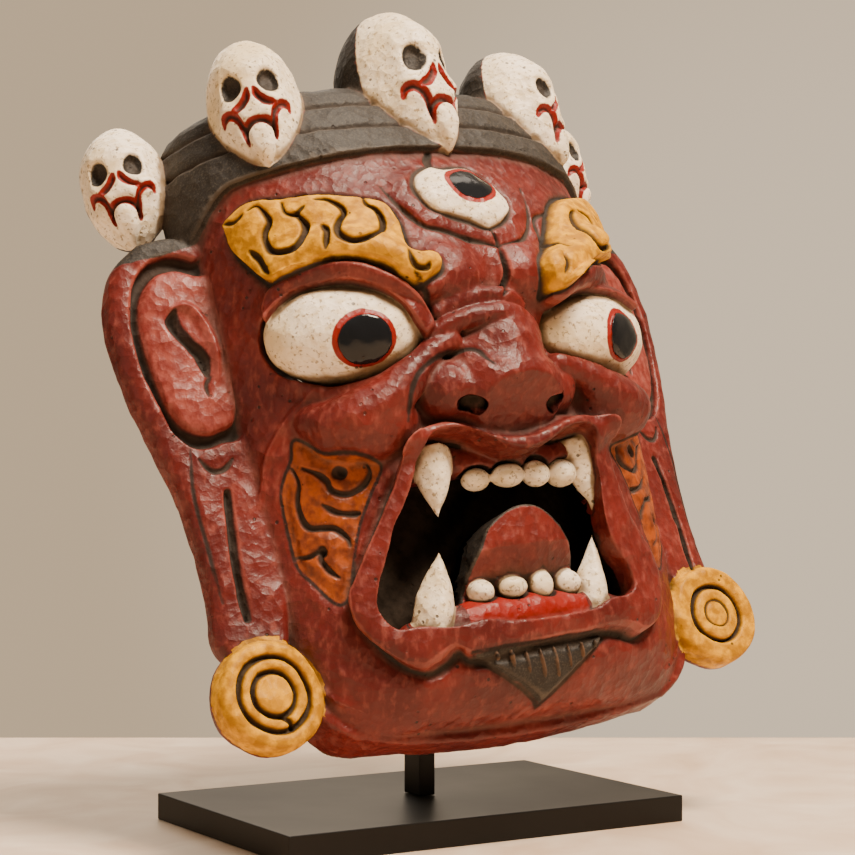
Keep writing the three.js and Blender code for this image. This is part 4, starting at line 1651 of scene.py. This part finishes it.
@dataclass(frozen=True)
class PaintedWood:
    """Distemper paints brushed over carved wood, waxed by handling: satin, dusty in the hollows, rubbed
    pinkish on the high edges, with small dark pits where the ground has flaked. Painted shade darkens the
    recesses, the gouged grooves and the gaps round the teeth, and the mouth's cavity and the nostrils are
    painted near-black as shade."""

    red: str = "#70241d"
    red_deep: str = "#501614"
    red_rubbed: str = "#984e43"
    ear_pad: str = "#8f4840"
    orange: str = "#9c4814"
    orange_aged: str = "#642a12"
    yellow: str = "#e2a400"
    yellow_dull: str = "#a87200"
    yellow_rubbed: str = "#f0b020"
    cream: str = "#fdf0da"
    cream_aged: str = "#e0c99c"
    cream_speck: str = "#8d744c"
    # Painted shade: the brown that the cream turns to in the recesses.
    cream_in_shade: str = "#7d5f38"
    vermilion: str = "#87150a"
    charcoal: str = "#24211f"
    charcoal_dusty: str = "#3f3932"
    charcoal_rubbed: str = "#574e45"
    gloss_black: str = "#17191d"
    bare_wood: str = "#6d5340"
    dark_wood: str = "#3d2c22"
    # Dark pits where the ground has flaked, and painted shade in the grooves and recesses.
    grime_and_shade: str = "#1d1713"
    dust: str = "#51463d"
    # Painted shade: near-black for the mouth's cavity and the nostrils.
    cavity_shade: str = "#030303"

    def material(self) -> bpy.types.Material:
        """The layered material.

        Returns:
            The material, read from the mask's vertex attributes.
        """
        made = bpy.data.materials.new("painted_carved_wood")
        made.use_nodes = True
        tree = made.node_tree
        tree.nodes.clear()
        place = add_node(tree, "ShaderNodeTexCoord").outputs["Object"]

        def noise(scale: float, detail: float = 3.0, stretch: tuple = (1, 1, 1)) -> bpy.types.NodeSocket:
            at = place
            if stretch != (1, 1, 1):
                at = add_node(tree, "ShaderNodeMapping", {"Vector": place, "Scale": stretch}).outputs[0]
            return add_node(tree, "ShaderNodeTexNoise", {"Vector": at, "Scale": scale,
                                                         "Detail": detail}).outputs["Fac"]

        def maths(kind: str, a, b=0.0, c=0.0, clamp: bool = False) -> bpy.types.NodeSocket:
            return add_node(tree, "ShaderNodeMath", {0: a, 1: b, 2: c}, operation=kind,
                            use_clamp=clamp).outputs[0]

        def ramp(value, low: float, high: float, out_low: float = 0.0, out_high: float = 1.0):
            return add_node(tree, "ShaderNodeMapRange", {
                "Value": value, "From Min": low, "From Max": high, "To Min": out_low, "To Max": out_high},
                interpolation_type="SMOOTHSTEP").outputs[0]

        def mix(share, a, b, kind: str = "MIX") -> bpy.types.NodeSocket:
            def colour(c):
                return linear(c) if isinstance(c, str) else c
            node = add_node(tree, "ShaderNodeMix", data_type="RGBA", blend_type=kind)
            for socket, value in ((node.inputs[0], share), (node.inputs[6], colour(a)),
                                  (node.inputs[7], colour(b))):
                if isinstance(value, bpy.types.NodeSocket):
                    tree.links.new(value, socket)
                else:
                    socket.default_value = value
            return node.outputs[2]

        def attribute(name: str) -> bpy.types.NodeSocket:
            return add_node(tree, "ShaderNodeAttribute", attribute_name=name).outputs["Fac"]

        broad, middle, fine = noise(22, 2), noise(150, 3), noise(900, 2)
        brushed = noise(240, 4, (1.0, 1.0, 0.5))
        scoops = [add_node(tree, "ShaderNodeTexVoronoi", {"Vector": place,
                                                          "Scale": size}).outputs["Distance"]
                  for size in (75, 170)]
        wobble = maths("MULTIPLY_ADD", middle, 1.6, -0.8)

        def coat(name: str) -> bpy.types.NodeSocket:
            edge = maths("ADD", attribute(name), wobble)
            return ramp(edge, 0.35, -0.35)

        edge, recess = attribute("edge"), attribute("recess")
        rub = maths("MULTIPLY", ramp(maths("MULTIPLY_ADD", middle, 0.5, edge), 0.55, 1.0),
                    ramp(broad, 0.35, 0.65, 0.25, 1.0))
        hollowness = ramp(recess, 0.0, -1.9)

        red = mix(ramp(broad, 0.3, 0.7), self.red_deep, self.red)
        red = mix(ramp(brushed, 0.48, 0.75, 0.0, 0.45), red, self.red_rubbed)
        red = mix(ramp(middle, 0.35, 0.6, 0.45, 0.0), red, self.red_deep)
        red = mix(maths("MULTIPLY", rub, 0.75), red, self.red_rubbed)
        red = mix(coat("pad"), red, mix(ramp(brushed, 0.3, 0.7), self.ear_pad, self.red))
        orange = mix(ramp(middle, 0.35, 0.7), self.orange, self.orange_aged)
        yellow = mix(ramp(middle, 0.3, 0.65), self.yellow, self.yellow_dull)
        yellow = mix(maths("MULTIPLY", rub, 0.3), yellow, self.yellow_rubbed)
        cream = mix(ramp(broad, 0.4, 0.75), self.cream, self.cream_aged)
        cream = mix(ramp(noise(320, 3, (0.3, 1.0, 1.0)), 0.45, 0.7, 0.0, 0.7), cream, self.cream_aged)
        # Painted shade: the cream darkens to brown in the recesses.
        cream = mix(ramp(maths("MULTIPLY_ADD", wobble, 0.6, recess), 0.1, -1.1, 0.0, 0.85), cream,
                    self.cream_in_shade)
        specks = ramp(noise(420, 2), 0.57, 0.69)
        cream = mix(maths("MULTIPLY", specks, 0.75), cream, self.cream_speck)
        charcoal = mix(maths("MULTIPLY", rub, 0.8), mix(ramp(fine, 0.45, 0.75), self.charcoal,
                                                        self.charcoal_dusty),
                       self.charcoal_rubbed)
        wood = mix(ramp(noise(90, 4, (1, 1, 0.15)), 0.3, 0.7), self.dark_wood, self.bare_wood)

        colour = red
        for name, paint in (("orange", orange), ("yellow", yellow), ("white", cream),
                            ("vermilion", self.vermilion), ("black", charcoal)):
            colour = mix(coat(name), colour, paint)
        glossy = coat("pupil")
        colour = mix(glossy, colour, self.gloss_black)
        # Painted shade: the mouth's cavity and the nostrils turn near-black.
        bare, cavity_shade = coat("wood"), coat("cavity_shade")
        colour = mix(cavity_shade, mix(bare, colour, wood), self.cavity_shade)
        # Dark pits where the ground has flaked.
        pits = add_node(tree, "ShaderNodeTexVoronoi", {"Vector": place, "Scale": 130, "Randomness": 1.0})
        pit = maths("MULTIPLY", ramp(pits.outputs["Distance"], 0.16, 0.10), ramp(noise(60, 2), 0.52, 0.6))
        colour = mix(maths("MULTIPLY", pit, 0.8), colour, self.grime_and_shade)
        # Painted shade: the gouged grooves and the gaps round the teeth are darkened almost to black.
        groove = ramp(maths("MULTIPLY_ADD", wobble, 0.5, attribute("groove")), 0.8, -0.5)
        colour = mix(maths("MULTIPLY", groove, 0.93), colour, self.grime_and_shade)
        dusty = maths("MULTIPLY", hollowness, ramp(middle, 0.2, 0.6, 0.35, 0.8))
        colour = mix(dusty, colour, mix(0.55, colour, self.dust))
        # Painted shade: the deep recesses darken towards near-black.
        deep = ramp(recess, -1.2, -3.2, 0.0, 0.75)
        colour = mix(deep, colour, self.grime_and_shade)

        rough = ramp(brushed, 0.2, 0.8, 0.34, 0.54)
        for mask, value in ((cavity_shade, 0.95), (coat("white"), 0.42), (coat("black"), 0.6), (dusty, 0.78),
                            (bare, 0.85), (groove, 0.8), (glossy, 0.14)):
            blend = add_node(tree, "ShaderNodeMix", {0: mask, 2: rough, 3: value}, data_type="FLOAT")
            rough = blend.outputs[0]
        relief = maths("MULTIPLY_ADD", brushed, 0.55, maths("MULTIPLY", middle, 0.8))
        relief = maths("MULTIPLY_ADD", fine, 0.15, relief)
        for scoop, deep_cut in zip(scoops, (1.7, 1.0)):
            relief = maths("MULTIPLY_ADD", maths("MULTIPLY", scoop, scoop), deep_cut, relief)
        relief = maths("SUBTRACT", relief, maths("MULTIPLY", pit, 1.2))
        calm = maths("SUBTRACT", 1.0, maths("MULTIPLY", glossy, 0.85))
        bump = add_node(tree, "ShaderNodeBump", {"Strength": 0.55, "Distance": 0.0012,
                                                 "Height": maths("MULTIPLY", relief, calm)})
        shader = add_node(tree, "ShaderNodeBsdfPrincipled", {
            "Base Color": colour, "Roughness": rough, "Normal": bump.outputs[0], "IOR": 1.48,
            "Specular IOR Level": maths("MULTIPLY_ADD", coat("yellow"), -0.22,
                                        maths("MULTIPLY_ADD", cavity_shade, -0.34, 0.34), clamp=True)})
        add_node(tree, "ShaderNodeOutputMaterial", {"Surface": shader.outputs[0]})
        return made


@dataclass(frozen=True)
class PowderCoat:
    """Black polyester powder coat on mild steel: an even satin skin with the faintest orange peel."""

    colour: str = "#0f0e0e"
    smudged: str = "#151413"

    def material(self) -> bpy.types.Material:
        """The stand's material."""
        made = bpy.data.materials.new("satin_black_powder_coat")
        made.use_nodes = True
        tree = made.node_tree
        tree.nodes.clear()
        place = add_node(tree, "ShaderNodeTexCoord").outputs["Object"]
        peel = add_node(tree, "ShaderNodeTexNoise", {"Vector": place, "Scale": 900, "Detail": 2.0})
        smudge = add_node(tree, "ShaderNodeTexNoise", {"Vector": place, "Scale": 9, "Detail": 3.0})
        rough = add_node(tree, "ShaderNodeMapRange", {"Value": smudge.outputs["Fac"], "From Min": 0.3,
                                                      "From Max": 0.7, "To Min": 0.34, "To Max": 0.44})
        tone = add_node(tree, "ShaderNodeMix", data_type="RGBA")
        tree.links.new(smudge.outputs["Fac"], tone.inputs[0])
        tone.inputs[6].default_value = linear(self.colour)
        tone.inputs[7].default_value = linear(self.smudged)
        bump = add_node(tree, "ShaderNodeBump", {"Strength": 0.08, "Distance": 0.0003,
                                                 "Height": peel.outputs["Fac"]})
        shader = add_node(tree, "ShaderNodeBsdfPrincipled", {
            "Base Color": tone.outputs[2], "Roughness": rough.outputs[0], "Normal": bump.outputs[0], "IOR": 1.5,
            "Specular IOR Level": 0.22})
        add_node(tree, "ShaderNodeOutputMaterial", {"Surface": shader.outputs[0]})
        return made


# ------------------------------------------------------------------ the stand


@dataclass
class Stand:
    """A flat steel plate and the flat post welded on it, both with broken edges."""

    edge: float = 0.8 * MM

    def bar(self, node: str, finish: bpy.types.Material) -> bpy.types.Object:
        """A bar that fills a CAD node's box, its edges rounded.

        Args:
            node: The CAD node that it stands for.
            finish: Its material.

        Returns:
            The piece.
        """
        low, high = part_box(node)
        corners = [Vector((x, y, z)) for x in (low.x, high.x) for y in (low.y, high.y) for z in (low.z, high.z)]
        faces = np.array([(0, 1, 3, 2), (4, 6, 7, 5), (0, 4, 5, 1), (2, 3, 7, 6), (0, 2, 6, 4),
                          (1, 5, 7, 3)])
        blank = shown(node + "_blank", new_mesh(node, np.array([list(c) for c in corners]), faces))
        bevel = blank.modifiers.new("Edge", "BEVEL")
        bevel.width, bevel.segments, bevel.harden_normals = self.edge, 3, True
        mesh = evaluated(blank)
        bpy.data.objects.remove(blank)
        mesh.polygons.foreach_set("use_smooth", np.ones(len(mesh.polygons), bool))
        mesh.materials.append(finish)
        piece = shown({"stand_base": "steel_plate", "stand_post": "steel_post"}[node], mesh)
        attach(piece, "root")
        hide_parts(node)
        return piece

    def build(self) -> list[bpy.types.Object]:
        """The plate and the post."""
        finish = PowderCoat().material()
        return [self.bar(node, finish) for node in ("stand_base", "stand_post")]


# ------------------------------------------------------------------ studio


@dataclass
class Studio:
    """A pale stone table, a warm plain backdrop, soft lights and the camera."""

    turn: float = -31.3
    distance: float = 1.342
    aside: float = 0.0049
    table_end: float = 0.372
    table_veins: str = "#b98f68"
    table_pale: str = "#fbeedb"
    wall_edge: str = "#d0b796"
    wall_middle: str = "#f3dcbe"
    warm_lamp: str = "#ffe9cf"
    fill_lamp: str = "#ffe9d2"
    pale_lamp: str = "#ffefdc"

    def axes(self) -> tuple[Vector, Vector]:
        """The level directions into the view and to its right."""
        a = math.radians(-self.turn)
        return Vector((math.sin(a), math.cos(a), 0)), Vector((math.cos(a), -math.sin(a), 0))

    def camera(self) -> None:
        """A level camera at the height of the nose."""
        into, right = self.axes()
        data = bpy.data.cameras.new("camera")
        data.lens, data.sensor_width, data.shift_y = 92.6, 36.0, 0.0146
        camera = bpy.data.objects.new("camera", data)
        camera.location = -self.distance * into + self.aside * right + Vector((0, 0, POSE_HEIGHT * MM))
        camera.rotation_euler = into.to_track_quat("-Z", "Y").to_euler()
        bpy.context.scene.collection.objects.link(camera)
        bpy.context.scene.camera = camera

    def light(self, name: str, way: Vector, size: float, power: float, colour: str) -> None:
        """A soft square light that faces the mask.

        Args:
            name: Its name.
            way: Where it stands.
            size: Its width in metres.
            power: Its power in watts.
            colour: Its colour.
        """
        data = bpy.data.lights.new(name, "AREA")
        data.size, data.energy, data.color = size, power, linear(colour)[:3]
        lamp = bpy.data.objects.new(name, data)
        lamp.location = way
        lamp.rotation_euler = (Vector((0, 0, 0.25)) - way).to_track_quat("-Z", "Y").to_euler()
        bpy.context.scene.collection.objects.link(lamp)

    def build(self) -> None:
        """Sets up the table, backdrop, lights and camera."""
        into, right = self.axes()
        self.camera()
        near, wide = -2.6, 3.2
        rim = [near * into - wide * right, near * into + wide * right,
               self.table_end * into + wide * right, self.table_end * into - wide * right]
        table = shown("table", new_mesh("table", np.array([list(p) for p in rim]), np.array([[0, 1, 2, 3]])))
        stone = bpy.data.materials.new("pale_stone_table")
        stone.use_nodes = True
        shader = stone.node_tree.nodes["Principled BSDF"]
        place = add_node(stone.node_tree, "ShaderNodeTexCoord").outputs["Object"]
        cloud = add_node(stone.node_tree, "ShaderNodeTexNoise", {"Vector": place, "Scale": 11, "Detail": 7.0,
                                                                      "Distortion": 1.4})
        tone = add_node(stone.node_tree, "ShaderNodeMix", data_type="RGBA")
        stone.node_tree.links.new(cloud.outputs["Fac"], tone.inputs[0])
        tone.inputs[6].default_value = linear(self.table_veins)
        tone.inputs[7].default_value = linear(self.table_pale)
        stone.node_tree.links.new(tone.outputs[2], shader.inputs["Base Color"])
        shader.inputs["Roughness"].default_value = 0.42
        table.data.materials.append(stone)
        self.light("key", -0.85 * into + 0.85 * right + Vector((0, 0, 2.55)), 0.8, 175, self.warm_lamp)
        self.light("fill", -1.4 * into - 1.9 * right + Vector((0, 0, 1.0)), 1.8, 8, self.fill_lamp)
        self.light("behind", 1.9 * into - 0.5 * right + Vector((0, 0, 1.5)), 1.4, 16, self.pale_lamp)
        self.light("top", 0.3 * into + Vector((0, 0, 2.2)), 1.6, 30, self.pale_lamp)
        self.backdrop(into)

    def backdrop(self, into: Vector) -> None:
        """A warm plain wall behind the table, paler in its middle, in a dimmer room."""
        world = bpy.data.worlds.new("warm_backdrop")
        world.use_nodes = True
        tree = world.node_tree
        way = add_node(tree, "ShaderNodeTexCoord").outputs["Generated"]
        middle = (into + 0.22 * Vector((into.y, -into.x, 0)) + Vector((0, 0, -0.02))).normalized()
        facing = add_node(tree, "ShaderNodeVectorMath", {0: way, 1: tuple(middle)}, operation="DOT_PRODUCT")
        near = add_node(tree, "ShaderNodeMapRange", {"Value": facing.outputs["Value"], "From Min": 0.93,
                                                     "From Max": 1.0}, interpolation_type="SMOOTHSTEP")
        wall = add_node(tree, "ShaderNodeMix", {0: near.outputs[0], 6: linear(self.wall_edge),
                                                7: linear(self.wall_middle)},
                        data_type="RGBA")
        room = add_node(tree, "ShaderNodeMapRange", {"Value": facing.outputs["Value"], "From Min": 0.3,
                                                     "From Max": 0.85, "To Min": 0.28, "To Max": 1.0})
        back = tree.nodes["Background"]
        tree.links.new(wall.outputs[2], back.inputs["Color"])
        tree.links.new(room.outputs[0], back.inputs["Strength"])
        bpy.context.scene.world = world


def main() -> None:
    """Builds the mask, its stand and the studio, and reports each piece."""
    logging.basicConfig(level=logging.INFO, format="%(message)s")
    pieces = [ChamMask().build(), *Stand().build()]
    for piece in pieces:
        LOG.info("%s: %d faces, %d vertices", piece.name, len(piece.data.polygons), len(piece.data.vertices))
    Studio().build()


if __name__ == "__main__":
    main()
